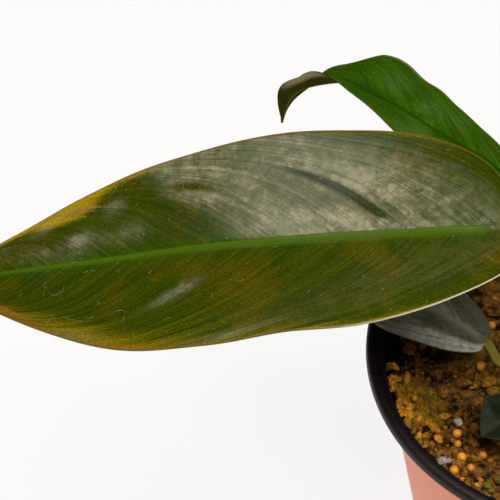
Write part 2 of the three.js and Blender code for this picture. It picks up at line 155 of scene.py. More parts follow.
NURSERY_OUTLINE = [
    [0, 10], [30.6, 10], [32.0, 10.5], [32.7, 12], [49.75, 87.6], [49.9, 88.3], [50.4, 88.75], [53.2, 88.9],
    [53.9, 89.2], [54.3, 89.9], [55.15, 94.3], [55.5, 94.9], [56.0, 95.15], [58.9, 95.2], [59.6, 95.45],
    [59.95, 96.0], [60, 96.7], [60, 98.0], [59.8, 98.8], [59.3, 99.3], [58.6, 99.5], [57.6, 99.5],
    [56.9, 99.3], [56.3, 98.7], [55.6, 97.4], [54.4, 95.2], [54.0, 94.0], [53.5, 90.6], [53.1, 89.8],
    [52.3, 89.6], [49.5, 89.1], [48.7, 88.7], [48.4, 87.9], [31.4, 12.2], [30.8, 11.6], [0, 11.6],
]

SPIKE_WAY = [[0.4, -0.4, 129.4], [1.8, -1.2, 146], [4.4, -2.0, 164], [8.6, -2.4, 182], [13.4, -2.4, 198]]


# Arithmetic on many points at once.

def keyed(values, t):
    """Catmull-Rom through evenly keyed numbers or points; the ends run on straight."""
    v = np.asarray(values, float)
    t = np.asarray(t, float)
    last = len(v) - 1
    x = np.clip(t, 0, 1) * last
    i = np.minimum(np.floor(x).astype(int), last - 1)
    f = x - i
    v = np.concatenate([[2 * v[0] - v[1]], v, [2 * v[-1] - v[-2]]])
    a, b, c, d = v[i], v[i + 1], v[i + 2], v[i + 3]
    if v.ndim > 1:
        f = f[..., None]
    return 0.5 * (2 * b + (c - a) * f + (2 * a - 5 * b + 4 * c - d) * f ** 2
                  + (3 * b - a - 3 * c + d) * f ** 3)


def smooth(x):
    x = np.clip(x, 0, 1)
    return x * x * (3 - 2 * x)


def unit(v):
    return v / np.linalg.norm(v, axis=-1, keepdims=True)


def spine_length(leaf):
    points = keyed(leaf["spine"], np.linspace(0, 1, 60))
    return np.linalg.norm(np.diff(points, axis=0), axis=1).sum()


def blade_width(leaf, t):
    belly, taper = leaf["belly"], leaf["taper"]
    base = np.sqrt(np.clip(1 - (1 - np.minimum(t / belly, 1)) ** 2, 0, 1))
    tip = 1 - np.clip((t - belly) / (1 - belly), 0, 1) ** taper
    return leaf["width"] * np.where(t < belly, base, tip)


def ripples(seed, t, s):
    """Soft unevenness of a living blade, in millimetres."""
    draw = random.Random(seed)
    total = np.zeros_like(t)
    for _ in range(7):
        along, across = draw.uniform(2.0, 9.0), draw.uniform(0.6, 2.6)
        total += draw.uniform(0.5, 1.0) / (1 + 0.35 * along) * np.sin(
            TAU * (along * t + draw.random()) + across * 2.2 * s)
    return total


def creases(leaf, lane, m, right):
    """Valleys that follow a lateral vein: place in millimetres, side, start and end across, width, depth."""
    total = np.zeros_like(m)
    for at, on_right, start, end, width, depth in leaf["creases"]:
        window = smooth((m - start) / 0.12) * smooth((end - m) / 0.3) * (right == on_right)
        total += depth * window * np.exp(-((lane - at) / width) ** 2)
    return total


def leaf_points(leaf, t, s, under):
    """Points of one leaf. t is 0 to 1 along the blade and below 0 down the stalk; s is -1 to 1
    across; under is 1 on the lower face. Gives positions and the values that materials read."""
    way = np.array(leaf["stalk"] + leaf["spine"], float)
    joint = len(leaf["stalk"]) / (len(way) - 1)
    x = np.where(t >= 0, joint + (1 - joint) * t, joint * (1 + t))
    along = unit(keyed(way, np.minimum(1, x + 1e-3)) - keyed(way, np.maximum(0, x - 1e-3)))
    blade_t = np.clip(t, 0, 1)
    face = keyed(leaf["face"], blade_t)
    face = unit(face - (face * along).sum(-1, keepdims=True) * along)
    side = np.cross(along, face)
    middle = keyed(way, x)
    m = np.abs(s)
    turn = np.radians(80 * m)
    right = s >= 0
    radius = leaf["stalk_radius"]

    # the stalk: a rounded bar with a shallow channel on top, wider at its foot
    u = 1 + t
    r = radius * (1 + 0.75 * (1 - smooth(u / 0.35)) + 0.15 * (1 - u))
    stalk_across = np.sign(s) * r * np.sin(turn)
    stalk_up = np.where(under > 0.5, -r * np.cos(turn), 0.72 * r * np.cos(turn) - 0.3 * r * (1 - m) ** 3)

    # the blade
    opened = smooth(blade_t / 0.05)
    sides = np.where(right, keyed(leaf["right"], blade_t), keyed(leaf["left"], blade_t))
    width = np.maximum(0.45, blade_width(leaf, blade_t) * sides + radius * (1 - blade_t))
    d = m * width
    fold = np.radians(keyed(leaf["fold"], blade_t))
    height, count, phase_right, phase_left = leaf["wave"]
    wave = height * np.sin(math.pi * blade_t) * np.sin(
        TAU * (count * blade_t + np.where(right, phase_right, phase_left))) * m ** 3
    droop = np.where(right, keyed(leaf["droop_right"], blade_t), keyed(leaf["droop_left"], blade_t))
    bump = (1 - opened) * 0.7 * radius * np.cos(turn)

    # the lateral veins leave the rib at a slant and bend toward the tip near the margin
    length = spine_length(leaf)
    vein = length * blade_t - 1.2 * d - 0.2 * length * m ** 4
    rib_width = 0.95 * radius * (1 - 0.8 * blade_t) + 0.12
    rib = np.clip(1 - (d / rib_width) ** 2, 0, 1)
    groove = np.exp(-((d - 1.2 * rib_width) / (0.4 * rib_width)) ** 2)
    # the far half starts at the far edge of the rib, so that the whole rib faces the near half's way
    valley = np.sqrt((d - rib_width) ** 2 + (0.25 * rib_width) ** 2) - 1.03 * rib_width
    valley = np.where(right, valley + 2 * rib_width * smooth((m - 0.1) / 0.6), d)
    rise = (d + opened * leaf["sunken"] * (valley - d)) * np.sin(fold)
    spread = smooth((m - 0.04) / 0.2) * smooth((1 - m) / 0.08) * opened
    relief = np.where(right, 0.0, 0.1 * rib ** 0.7 - 0.08 * groove) * opened
    relief = relief + spread * 0.035 * np.sin(TAU * vein / VEIN_PITCH + leaf["seed"])
    relief = relief + leaf["ripple"] * ripples(leaf["seed"], blade_t, s) * m * opened * (length / 150)
    crease = creases(leaf, vein, m, right)
    relief = relief - crease
    top = rise - droop * m ** 2.2 + wave + bump + relief
    keel_depth = (1 - opened) * radius * 0.55 + 1.15 * radius * (1 - blade_t) ** 1.3 * opened * 0.6
    keel_width = 1.1 * radius * (1 - 0.75 * blade_t) + 0.2
    keel = keel_depth * np.clip(1 - (d / keel_width) ** 2, 0, 1) ** 0.8
    skin = leaf["thickness"] * (0.8 - 0.5 * m ** 3)
    blade_up = np.where(under > 0.5, top - skin - keel - bump, top)
    back = leaf["lobe"] * np.clip(1 - blade_t / 0.32, 0, 1) ** 2 * (d / (0.55 * leaf["width"])) ** 1.3

    on_stalk = t < 0
    across = np.where(on_stalk, stalk_across, np.sign(s) * d * np.cos(fold))
    up = np.where(on_stalk, stalk_up, blade_up)
    back = np.where(on_stalk, 0, back)
    points = middle + side * across[..., None] + face * up[..., None] - along * back[..., None]

    def on_blade(value):
        return np.where(on_stalk, 0, value)

    near_rib = np.where(right, smooth(1.5 * rib), np.exp(-(d / (0.8 * rib_width)) ** 2))
    values = {
        "along": t, "across": s, "under": under, "vein": vein / UV_UNIT,
        "rib": on_blade(near_rib) * opened,
        "halo": on_blade(np.exp(-(d / (2.2 * rib_width + 0.9)) ** 2)) * opened,
        "edge": on_blade(smooth((d - width + 0.22) / 0.16)),
        "crease": on_blade(np.clip(crease / 0.07, 0, 1)),
        "u": np.where(on_stalk, t * length * 0.4, blade_t * length) / UV_UNIT,
        "v": np.sign(s) * np.where(on_stalk, r * turn, d) / UV_UNIT,
    }
    return points, values


# Mesh work.

def only(*pieces):
    """Selects these pieces and makes the first of them active."""
    bpy.ops.object.select_all(action='DESELECT')
    for piece in pieces:
        piece.select_set(True)
    bpy.context.view_layer.objects.active = pieces[0]


def named(name):
    piece = bpy.context.active_object
    piece.name = name
    piece.data.name = name
    return piece


def added(operator, name, **settings):
    """A new object by one of the operators that add a shape, a camera or a light."""
    bpy.ops.object.select_all(action='DESELECT')
    operator(**settings)
    return named(name)


def joined(pieces, name):
    only(*pieces)
    bpy.ops.object.join()
    return named(name)


def in_edit_mode(piece, *steps):
    only(piece)
    bpy.ops.object.mode_set(mode='EDIT')
    bpy.ops.mesh.select_all(action='SELECT')
    for step in steps:
        step()
    bpy.ops.object.mode_set(mode='OBJECT')


def merge_close():
    bpy.ops.mesh.remove_doubles(threshold=2e-6)


def face_outwards():
    bpy.ops.mesh.normals_make_consistent(inside=False)


def close_ends():
    bpy.ops.mesh.select_all(action='DESELECT')
    bpy.ops.mesh.select_non_manifold(extend=False, use_wire=False, use_multi_face=False,
                                     use_non_contiguous=False, use_verts=False)
    bpy.ops.mesh.edge_face_add()
    bpy.ops.mesh.select_all(action='SELECT')


def grid_piece(name, columns, rows):
    """A flat grid primitive, with the column and row of each of its points."""
    piece = added(bpy.ops.mesh.primitive_grid_add, name,
                  x_subdivisions=columns - 1, y_subdivisions=rows - 1, size=1.0)
    flat = np.empty(len(piece.data.vertices) * 3)
    piece.data.vertices.foreach_get("co", flat)
    flat = flat.reshape(-1, 3)
    column = np.rint((flat[:, 0] + 0.5) * (columns - 1)).astype(int)
    row = np.rint((flat[:, 1] + 0.5) * (rows - 1)).astype(int)
    return piece, column, row


def place_points(piece, points_mm):
    piece.data.vertices.foreach_set("co", (np.asarray(points_mm) * MM).ravel())
    piece.data.update()


def write_values(piece, values):
    """Puts u and v in the piece's own map and the rest in named attributes."""
    mesh = piece.data
    for name, data in values.items():
        if name in ("u", "v"):
            continue
        attribute = mesh.attributes.new(name, 'FLOAT', 'POINT')
        attribute.data.foreach_set("value", np.asarray(data, np.float32))
    corner = np.empty(len(mesh.loops), int)
    mesh.loops.foreach_get("vertex_index", corner)
    uv = np.stack([values["u"][corner], values["v"][corner]], -1).astype(np.float32)
    mesh.uv_layers.active.data.foreach_set("uv", uv.ravel())


def shade_smooth(piece, angle=None):
    only(piece)
    if angle is None:
        bpy.ops.object.shade_smooth()
    else:
        bpy.ops.object.shade_smooth_by_angle(angle=math.radians(angle))


def settle(piece, material):
    """The last step of every piece: its finish and its body."""
    piece.data.materials.clear()
    piece.data.materials.append(material)
    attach(piece, "root")


def turned_piece(name, outline, steps):
    """An outline from axis to axis, spun into a closed solid."""
    piece = added(bpy.ops.mesh.primitive_circle_add, name,
                  vertices=len(outline), radius=0.05, fill_type='NOTHING')
    place_points(piece, [[r, 0, z] for r, z in outline])
    last = len(outline) - 1
    only(piece)
    for edge in piece.data.edges:
        edge.select = set(edge.vertices) == {0, last}
    for vertex in piece.data.vertices:
        vertex.select = False
    bpy.ops.object.mode_set(mode='EDIT')
    bpy.ops.mesh.select_mode(type='EDGE')
    bpy.ops.mesh.delete(type='EDGE')
    bpy.ops.mesh.select_mode(type='VERT')
    bpy.ops.mesh.select_all(action='SELECT')
    bpy.ops.mesh.spin(steps=steps, angle=TAU, center=(0, 0, 0), axis=(0, 0, 1))
    bpy.ops.mesh.select_all(action='SELECT')
    merge_close()
    face_outwards()
    bpy.ops.object.mode_set(mode='OBJECT')
    return piece


# Node trees.

class Wire:
    """An output of a node, which can be added, scaled and ramped as a number can."""

    def __init__(self, tree, socket):
        self.tree = tree
        self.socket = socket

    def __add__(self, other):
        return self.tree.math('ADD', self, other)

    def __sub__(self, other):
        return self.tree.math('SUBTRACT', self, other)

    def __mul__(self, other):
        return self.tree.math('MULTIPLY', self, other)

    def ramp(self, low, high, to_low=0.0, to_high=1.0):
        """Runs softly from one number to another as the wire goes from low to high."""
        return self.tree.node("ShaderNodeMapRange", (self, low, high, to_low, to_high),
                              interpolation_type='SMOOTHSTEP')


class Tree:
    """A short way to write a node tree."""

    def __init__(self, tree):
        self.tree = tree

    def add(self, kind, **settings):
        node = self.tree.nodes.new(kind)
        for key, value in settings.items():
            setattr(node, key, value)
        return node

    def feed(self, socket, value):
        if isinstance(value, Wire):
            self.tree.links.new(value.socket, socket)
        else:
            socket.default_value = (*value, 1.0) if socket.type == 'RGBA' else value

    def feed_all(self, node, values):
        for label, value in values.items():
            self.feed(node.inputs[label], value)

    def node(self, kind, inputs=(), output=0, **settings):
        """Adds a node, feeds its inputs in their order, and gives one of its outputs."""
        node = self.add(kind, **settings)
        for socket, value in zip(node.inputs, inputs):
            self.feed(socket, value)
        return Wire(self, node.outputs[output])

    def math(self, operation, *values, clamp=False):
        return self.node("ShaderNodeMath", values, operation=operation, use_clamp=clamp)

    def mix(self, amount, a, b, blend='MIX'):
        node = self.add("ShaderNodeMix", data_type='RGBA', blend_type=blend, clamp_factor=True)
        for place, value in ((0, amount), (6, a), (7, b)):
            self.feed(node.inputs[place], value)
        return Wire(self, node.outputs[2])

    def shade(self, color, lift):
        """A colour made darker below a lift of 1, and lighter above it."""
        return self.mix(1.0, color, self.vector(lift, lift, lift), 'MULTIPLY')

    def attribute(self, name):
        return self.node("ShaderNodeAttribute", output="Fac", attribute_name=name)

    def place(self):
        return self.node("ShaderNodeTexCoord", output="Object")

    def own_map(self):
        return self.node("ShaderNodeUVMap")

    def vector(self, x=0.0, y=0.0, z=0.0):
        return self.node("ShaderNodeCombineXYZ", (x, y, z))

    def parts(self, vector):
        """The x, y and z of a vector."""
        node = self.add("ShaderNodeSeparateXYZ")
        self.feed(node.inputs[0], vector)
        return [Wire(self, socket) for socket in node.outputs]

    def from_axis(self):
        """The distance from the pots' axis, in metres."""
        x, y, _ = self.parts(self.place())
        return self.math('SQRT', x * x + y * y)

    def noise(self, vector, scale, detail=3.0, roughness=0.6, distortion=0.0):
        node = self.add("ShaderNodeTexNoise")
        self.feed_all(node, {"Vector": vector, "Scale": scale, "Detail": detail, "Roughness": roughness,
                             "Distortion": distortion})
        return Wire(self, node.outputs["Fac"])

    def group(self, group, values):
        """Places a shared group with values of its own, and gives its outputs by label."""
        node = self.add("ShaderNodeGroup", node_tree=group)
        self.feed_all(node, values)
        return {socket.name: Wire(self, socket) for socket in node.outputs}


class Finish(Tree):
    """A new material's tree, with the one shader that it feeds."""

    def __init__(self, name):
        self.material = bpy.data.materials.new(name)
        self.material.use_nodes = True
        super().__init__(self.material.node_tree)
        self.tree.nodes.clear()
        self.shader = self.add("ShaderNodeBsdfPrincipled")
        self.tree.links.new(self.shader.outputs[0], self.add("ShaderNodeOutputMaterial").inputs[0])

    def done(self, color, roughness, gloss=0.5, height=None, strength=0.25, depth=0.0003):
        """Feeds the shader and gives the material. depth is that of the fine relief, in metres."""
        values = {"Base Color": color, "Roughness": roughness, "Specular IOR Level": gloss}
        if height:
            relief = self.add("ShaderNodeBump")
            self.feed_all(relief, {"Strength": strength, "Distance": depth, "Height": height})
            values["Normal"] = Wire(self, relief.outputs[0])
        self.feed_all(self.shader, values)
        return self.material


def shared_group(name, inputs, build):
    """A node group that is built once. build gives its outputs by label, from its tree and its inputs."""
    if name in bpy.data.node_groups:
        return bpy.data.node_groups[name]
    group = bpy.data.node_groups.new(name, "ShaderNodeTree")
    tree = Tree(group)

    def new_socket(label, side, is_color):
        kind = "NodeSocketColor" if is_color else "NodeSocketFloat"
        return group.interface.new_socket(label, in_out=side, socket_type=kind)

    for label, default in inputs.items():
        is_color = isinstance(default, tuple)
        new_socket(label, 'INPUT', is_color).default_value = (*default, 1.0) if is_color else default
    given = tree.add("NodeGroupInput").outputs
    made = build(tree, {label: Wire(tree, given[label]) for label in inputs})
    for label in made:
        new_socket(label, 'OUTPUT', label == "Color")
    output = tree.add("NodeGroupOutput")
    for label, wire in made.items():
        tree.feed(output.inputs[label], wire)
    return group


GRAIN_INPUTS = {"Color": (0.5, 0.5, 0.5), "Scale": 400.0, "Dark": 0.9, "Light": 1.1, "Clouds": 0.0}


def grain_build(n, g):
    """Fine grain that shades a colour, with broader clouds where a finish asks for them."""
    place = n.place()
    grain = n.noise(place, g["Scale"])
    cloud = n.noise(place, g["Scale"] * 0.06)
    clouds = cloud.ramp(0.3, 0.7, g["Clouds"] * -0.5, g["Clouds"] * 0.5)
    lift = grain.ramp(0.3, 0.7, g["Dark"], g["Light"]) + clouds
    return {"Color": n.shade(g["Color"], lift), "Grain": grain, "Cloud": cloud}


def grained(finish, color, scale, dark, light, clouds=0.0):
    group = shared_group("Fine grain", GRAIN_INPUTS, grain_build)
    values = {"Color": color, "Scale": scale, "Dark": dark, "Light": light, "Clouds": clouds}
    return finish.group(group, values)


LEAF_COLOURS = ("Deep", "Green", "Olive", "Gold", "Rust", "Rib", "Halo", "Sheen", "Bloom", "Underside",
                "Stalk", "Margin", "Pale margin and glint")


def leaf_skin_build(n, g):
    """The look of a leaf's face, worked out along its own veins."""
    uv = n.own_map()
    u, v, _ = n.parts(uv)
    vein, across, under = n.attribute("vein"), n.attribute("across"), n.attribute("under")
    rib, edge, along = n.attribute("rib"), n.attribute("edge"), n.attribute("along")
    warm, haze, crease = n.attribute("warm"), n.attribute("haze"), n.attribute("crease")
    halo, pale, brown = n.attribute("halo"), n.attribute("pale"), n.attribute("brown")

    def veined(fine, aside, detail, roughness, distortion=0.0):
        """Noise drawn out along the lateral veins."""
        return n.noise(n.vector(vein * fine, v * aside, u), 1.0, detail, roughness, distortion)

    threads = veined(230.0, 12.0, 3.0, 0.65)
    lines = veined(74.0, 5.0, 2.0, 0.6, 0.4)
    bands = veined(20.0, 6.0, 4.0, 0.65, 0.5)
    stains = veined(16.0, 9.0, 4.0, 0.7, 0.9)
    patches = n.noise(uv, 4.2, 3.0, 0.6, 0.3)
    mottle = n.noise(uv, 24.0, 5.0, 0.74, 0.8)
    fleck = n.noise(uv, 62.0, 4.0, 0.75, 0.6)
    grain = n.noise(uv, 150.0, 2.0, 0.7)
    laterals = n.math('SINE', vein * VEIN_TURN + bands * 2.2).ramp(0.8, 1.0)

    # the leaf's own greens, then gold and rust, a band beside the rib, and painted shade in the creases
    color = n.mix(bands.ramp(0.35, 0.65), g["Deep"], g["Green"])
    color = n.mix((patches + (mottle - 0.5) * 0.35).ramp(0.48, 0.68), color, g["Olive"])
    color = n.mix(laterals * 0.25, color, g["Deep"])
    # a band beside the rib: on the front leaf a purer green, on the back leaf painted shade of the rib's
    # channel
    beside_rib = halo * along.ramp(0.3, 0.62, 0.35, 1.0) * patches.ramp(0.3, 0.7, 0.95, 0.7)
    color = n.mix(beside_rib, color, g["Halo"])
    gold = warm + ((bands - 0.5) * 0.7 + (lines - 0.5) * 0.4)
    color = n.mix(gold.ramp(0.2, 1.1) * 0.95, color, g["Gold"])
    rust = brown + ((lines - 0.5) * 0.8 + (mottle - 0.5) * 1.1)
    color = n.mix(rust.ramp(0.25, 1.1) * 0.85, color, g["Rust"])
    # fine tone along the veins, and the creases painted darker as painted shade of the folds
    lift = threads.ramp(0.3, 0.7, 0.76, 1.24) * grain.ramp(0.3, 0.7, 0.74, 1.26)
    lift = lift * lines.ramp(0.3, 0.7, 0.88, 1.12) * crease.ramp(0.0, 1.0, 1.0, 0.5)
    color = n.shade(color, lift)

    # painted sheen, pale colour for the panel's reflection: broken up along the veins, thin on the rib, gone
    # from creases
    broken = stains.ramp(0.32, 0.64, 0.7, 1.14) * mottle.ramp(0.34, 0.66, 0.68, 1.24)
    broken = broken * (fleck.ramp(0.32, 0.68, 0.64, 1.34) * lines.ramp(0.35, 0.65, 0.74, 1.24))
    sheen = haze * (broken * threads.ramp(0.3, 0.7, 0.62, 1.34)) * crease.ramp(0.0, 0.7, 1.0, 0.0)
    sheen = n.math('MULTIPLY', sheen, rib.ramp(0.1, 0.6, 1.0, 0.05), clamp=True)
    color = n.mix(sheen, color, n.mix((patches + mottle).ramp(0.84, 1.22), g["Sheen"], g["Bloom"]))
    color = n.mix(rib * 0.95, color, n.mix(haze * 0.32, g["Rib"], g["Sheen"]))
    # the margin line, and a paler colour where marked: on the front leaf a painted highlight along the lower
    # edge near the base
    color = n.mix(edge * 0.9, color, n.mix(pale, g["Margin"], g["Pale margin and glint"]))

    # the lower face and the stalk
    below = n.mix(bands.ramp(0.3, 0.7) * 0.35, g["Underside"], g["Rust"])
    below = n.mix(rib * 0.8, below, g["Stalk"])
    # on the back leaf, a painted highlight on the lower face along the near edge where its tip bends over
    below = n.mix(n.attribute("tip_highlight"), below, g["Pale margin and glint"])
    color = n.mix(under.ramp(0.4, 0.6), color, below)
    stalk = n.mix(mottle.ramp(0.3, 0.8, 0.0, 0.5), g["Stalk"], g["Rust"])
    stalk = n.mix(across.ramp(0.0, 1.0, 0.0, 0.2), stalk, g["Rib"])
    color = n.mix(along.ramp(-0.05, 0.03, 1.0, 0.0), color, stalk)

    # light specks of dust
    cells = n.add("ShaderNodeTexVoronoi", feature='F1')
    n.feed_all(cells, {"Vector": uv, "Scale": 46.0})
    speck = Wire(n, cells.outputs["Distance"]).ramp(0.04, 0.1, 1.0, 0.0) * fleck.ramp(0.47, 0.53)
    color = n.mix(speck * (g["Dust"] * 0.7), color, (0.42, 0.42, 0.26))

    rough = fleck * 0.22 + sheen * 0.15 + (rib * 0.25 + under * 0.15) + (mottle * 0.12 + 0.08)
    height = threads * 0.3 + grain * 0.12 + (fleck * 0.3 + laterals * -0.1)
    return {"Color": color, "Roughness": rough, "Height": height}


def leaf_material(name, colours, dust, gloss):
    finish = Finish(name)
    inputs = {**dict.fromkeys(LEAF_COLOURS, (0.05, 0.05, 0.01)), "Dust": 0.5}
    look = finish.group(shared_group("Leaf skin", inputs, leaf_skin_build), {**colours, "Dust": dust})
    return finish.done(look["Color"], look["Roughness"], gloss, look["Height"])


LANE_LENGTH = 1.61          # the front leaf's length, in units of its own map

# Soft spots on the front leaf: place along the blade, place across it, reach along, reach across,
# strength. The painted sheen's places are counted along the lateral veins, so that its spots lean with them.
# the leaf's own gold; the strong spots on the upper margin toward the tip also paint a highlight on the
# rolled margin
WARM_AND_HIGHLIGHT_SPOTS = [
    (0.9, 0.97, 0.12, 0.1, 0.6), (0.73, 0.85, 0.06, 0.15, 1.4), (0.82, 1.0, 0.16, 0.09, 0.7),
    (0.6, 1.0, 0.14, 0.08, 0.65), (0.68, 0.3, 0.05, 0.16, 0.25), (0.95, -0.85, 0.16, 0.25, 0.4),
    (0.72, -0.84, 0.12, 0.2, 0.42),
    (0.62, -0.97, 0.14, 0.14, 0.36), (0.4, -0.99, 0.2, 0.12, 0.22), (0.62, -0.4, 0.12, 0.2, 0.2),
    (0.45, -0.75, 0.14, 0.2, 0.2), (0.15, 1.0, 0.12, 0.06, 0.3),
    (0.24, -0.98, 0.16, 0.05, 0.38), (0.3, 0.99, 0.2, 0.05, 0.25),
]
BROWN_SPOTS = [
    (0.71, 0.8, 0.04, 0.08, 1.0), (0.78, 0.92, 0.05, 0.05, 0.6), (0.93, -0.9, 0.13, 0.12, 0.75),
    (0.7, 0.3, 0.05, 0.15, 0.35), (0.5, -0.97, 0.12, 0.05, 0.4),
    (0.82, -0.88, 0.06, 0.07, 0.9), (0.74, -0.99, 0.1, 0.06, 0.8),
    (0.62, -1.0, 0.06, 0.07, 0.9), (0.55, -0.35, 0.1, 0.2, 0.22), (0.3, -0.5, 0.2, 0.3, 0.1),
    (0.12, 0.88, 0.05, 0.1, 0.3), (0.8, 0.3, 0.07, 0.2, 0.3), (0.05, -0.7, 0.06, 0.25, 0.5),
    (0.3, 0.9, 0.15, 0.12, 0.3),
]
SHEEN_SPOTS = [
    (0.255, 0.13, 0.08, 0.1, 0.75), (0.09, 0.6, 0.055, 0.2, 0.6), (0.3, 0.42, 0.05, 0.14, 0.15),
    (0.362, 0.55, 0.026, 0.09, 0.35), (0.335, 0.64, 0.024, 0.08, -0.6), (0.225, 0.86, 0.05, 0.1, 0.25),
    (0.15, 0.62, 0.02, 0.08, -0.35), (0.1, 0.82, 0.03, 0.1, -0.15), (0.02, 0.35, 0.05, 0.2, 0.08),
    (0.5, 0.84, 0.03, 0.1, 0.15), (0.72, 0.22, 0.05, 0.2, 0.15),
    (0.42, -0.45, 0.015, 0.1, 0.6), (0.0, -0.55, 0.1, 0.4, 0.04), (0.12, -0.5, 0.1, 0.4, 0.03),
    (0.3, 0.1, 0.08, 0.08, 0.28), (0.03, 0.0, 0.05, 0.07, 0.6),
    (0.1, -0.92, 0.03, 0.06, 0.3), (0.37, -0.95, 0.04, 0.06, 0.25), (-0.05, 0.6, 0.05, 0.3, -0.2),
    (-0.13, 0.82, 0.05, 0.2, -0.05), (0.0, 0.5, 0.04, 0.2, -0.16),
]
TIP_SHEEN_SPOTS = [
    (0.704, 0.37, 0.018, 0.09, 1.15), (0.7, 0.27, 0.04, 0.14, 0.25), (0.64, 0.66, 0.016, 0.1, 0.4),
    (0.613, 0.3, 0.03, 0.12, 0.28), (0.91, 0.6, 0.05, 0.25, 0.3), (0.775, 0.75, 0.02, 0.1, 0.3),
]
BACK_SHEEN_SPOTS = [
    (0.5, 0.55, 0.05, 0.25, 0.6), (0.36, 0.5, 0.04, 0.2, 0.5), (0.26, 0.55, 0.04, 0.2, 0.45),
    (0.3, -0.6, 0.08, 0.3, 0.3), (0.12, 0.5, 0.05, 0.3, 0.3),
]


def front_sheen(lane, along, across):
    """The broad sheet of painted sheen over the far half of the front leaf."""
    sheet = 0.48 * smooth((0.43 - lane) / 0.09) * smooth((lane + 0.17) / 0.17)
    sheet = sheet * (1.05 - 0.17 * smooth((lane - 0.1) / 0.15))
    return sheet * smooth((0.6 - along) / 0.08) * smooth(across / 0.06)


def spots(table, along, across):
    total = np.zeros_like(along)
    for at, aside, reach, wide, strength in table:
        total += strength * np.exp(-((along - at) / reach) ** 2 - ((across - aside) / wide) ** 2)
    return total


def leaf_patches(leaf, values):
    """Where a leaf is warm toward gold and rust, and where painted sheen, light and highlights lie on it."""
    t, s = np.clip(values["along"], 0, 1), values["across"]
    m = np.abs(s)
    if leaf["node"] == "leaf_front_left":
        warm = spots(WARM_AND_HIGHLIGHT_SPOTS, t, s)
        lane = values["vein"] / LANE_LENGTH
        haze = front_sheen(lane, t, s) + spots(SHEEN_SPOTS, lane, s) + spots(TIP_SHEEN_SPOTS, t, s)
        brown = spots(BROWN_SPOTS, t, s)
    else:
        draw = random.Random(100 + leaf["seed"])
        drift = np.zeros_like(t)
        for _ in range(5):
            drift += draw.uniform(0.5, 1) * np.sin(TAU * (draw.uniform(0.6, 3) * t + draw.random())
                                                   + draw.uniform(-2, 2) * s)
        drift *= 0.16
        warm = leaf["age"] * (0.1 + 1.2 * smooth((m - 0.55) / 0.45) + 0.9 * smooth((t - 0.5) / 0.5) + drift)
        haze = leaf["haze"] * (0.6 + 1.4 * drift)
        brown = 0.8 * warm
    # marks the lower margin near the base; on the front leaf its cream colour is a painted highlight
    pale = smooth((0.36 - t) / 0.2) * (s < 0)
    tip_highlight = np.zeros_like(t)
    # painted light on the low leaf: lighter on the near side, toward the tip and by the rib, much less on the
    # far side
    if leaf["node"] == "leaf_low_left":
        haze = 0.05 + 0.75 * smooth((-s - 0.4) / 0.3) + 0.9 * smooth((t - 0.2) / 0.15)
        haze = haze * (1 - 0.7 * smooth((s - 0.3) / 0.3)) + 0.14 * np.exp(-((s - 0.12) / 0.12) ** 2)
    if leaf["node"] == "leaf_back_left":
        warm, brown = warm * (s > 0), brown * (s > 0)
        haze = 0.5 * spots(BACK_SHEEN_SPOTS, t, s)
        pale = (s > 0) * 1.0
        # a painted highlight on the lower face, along the near edge where the tip bends over
        tip_highlight = smooth((-s - 0.62) / 0.25) * smooth((t - 0.58) / 0.06) * smooth((0.84 - t) / 0.08)
    return {"warm": np.clip(warm, 0, 1.3), "haze": np.clip(haze, 0, 1), "pale": pale, "tip_highlight": tip_highlight,
            "brown": np.clip(brown, 0, 1.3)}


def build_leaf(leaf, material):
    stations = leaf["stations"]
    x = np.linspace(-1, 1, stations)
    across = np.sign(x) * np.abs(x) ** 1.25
    lower_count = stations // 2 + 1
    y = np.linspace(1, -1, lower_count)
    lower = np.sign(y) * np.abs(y) ** 1.25
    ring_s = np.concatenate([across, lower, across[:1]])
    ring_under = np.concatenate([np.zeros(stations), np.ones(lower_count), [0.0]])
    stalk_rows = max(16, leaf["rows"] // 7)
    stalk_t = -(1 - np.linspace(0, 1, stalk_rows, endpoint=False))
    e = np.linspace(0, 1, leaf["rows"])
    blade_t = 0.35 * e ** 2 + 0.65 * e
    row_t = np.concatenate([stalk_t, blade_t])
    name = leaf["node"] + "_fine"
    piece, column, row = grid_piece(name, len(ring_s), len(row_t))
    t, s, under = row_t[row], ring_s[column], ring_under[column]
    points, values = leaf_points(leaf, t, s, under)
    values.update(leaf_patches(leaf, values))
    place_points(piece, points)
    write_values(piece, values)
    in_edit_mode(piece, merge_close, close_ends, face_outwards)
    shade_smooth(piece)
    settle(piece, material)
    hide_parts(leaf["node"])
    return piece


def plain_material(name, colour, roughness, shade=0.15):
    """One colour with fine grain and soft clouds; shade says how strong both are."""
    finish = Finish(name)
    look = grained(finish, colour, 400.0, 1 - 0.5 * shade, 1 + 0.5 * shade, shade)
    rough = look["Cloud"].ramp(0.3, 0.7, roughness - 0.06, roughness + 0.06)
    return finish.done(look["Color"], rough, 0.5, look["Grain"], 0.1, 0.0002)


def black_plastic_material(colour):
    """Satin on the lip; matt within, and darker there as painted shade."""
    finish = Finish("Black plastic")
    lip = finish.from_axis().ramp(57.0 * MM, 59.1 * MM, 0.15, 1.0)
    # within the lip, a darker colour: painted shade
    look = grained(finish, finish.mix(lip, (0.003, 0.0016, 0.0013), colour), 400.0, 0.92, 1.08)
    rough = lip.ramp(0.15, 1.0, 0.9, 0.46) + look["Grain"].ramp(0.3, 0.7, -0.05, 0.05)
    return finish.done(look["Color"], rough, 0.2)


def tone_material(name, low, high, roughness, strength=0.3):
    """A finish that runs between two colours by each copy's own tone, with fine pitting."""
    finish = Finish(name)
    look = grained(finish, finish.mix(finish.attribute("tone"), low, high), 900.0, 0.82, 1.12)
    rough = look["Grain"].ramp(0.3, 0.7, roughness - 0.08, roughness + 0.08)
    return finish.done(look["Color"], rough, 0.5, look["Grain"], strength, 0.0002)


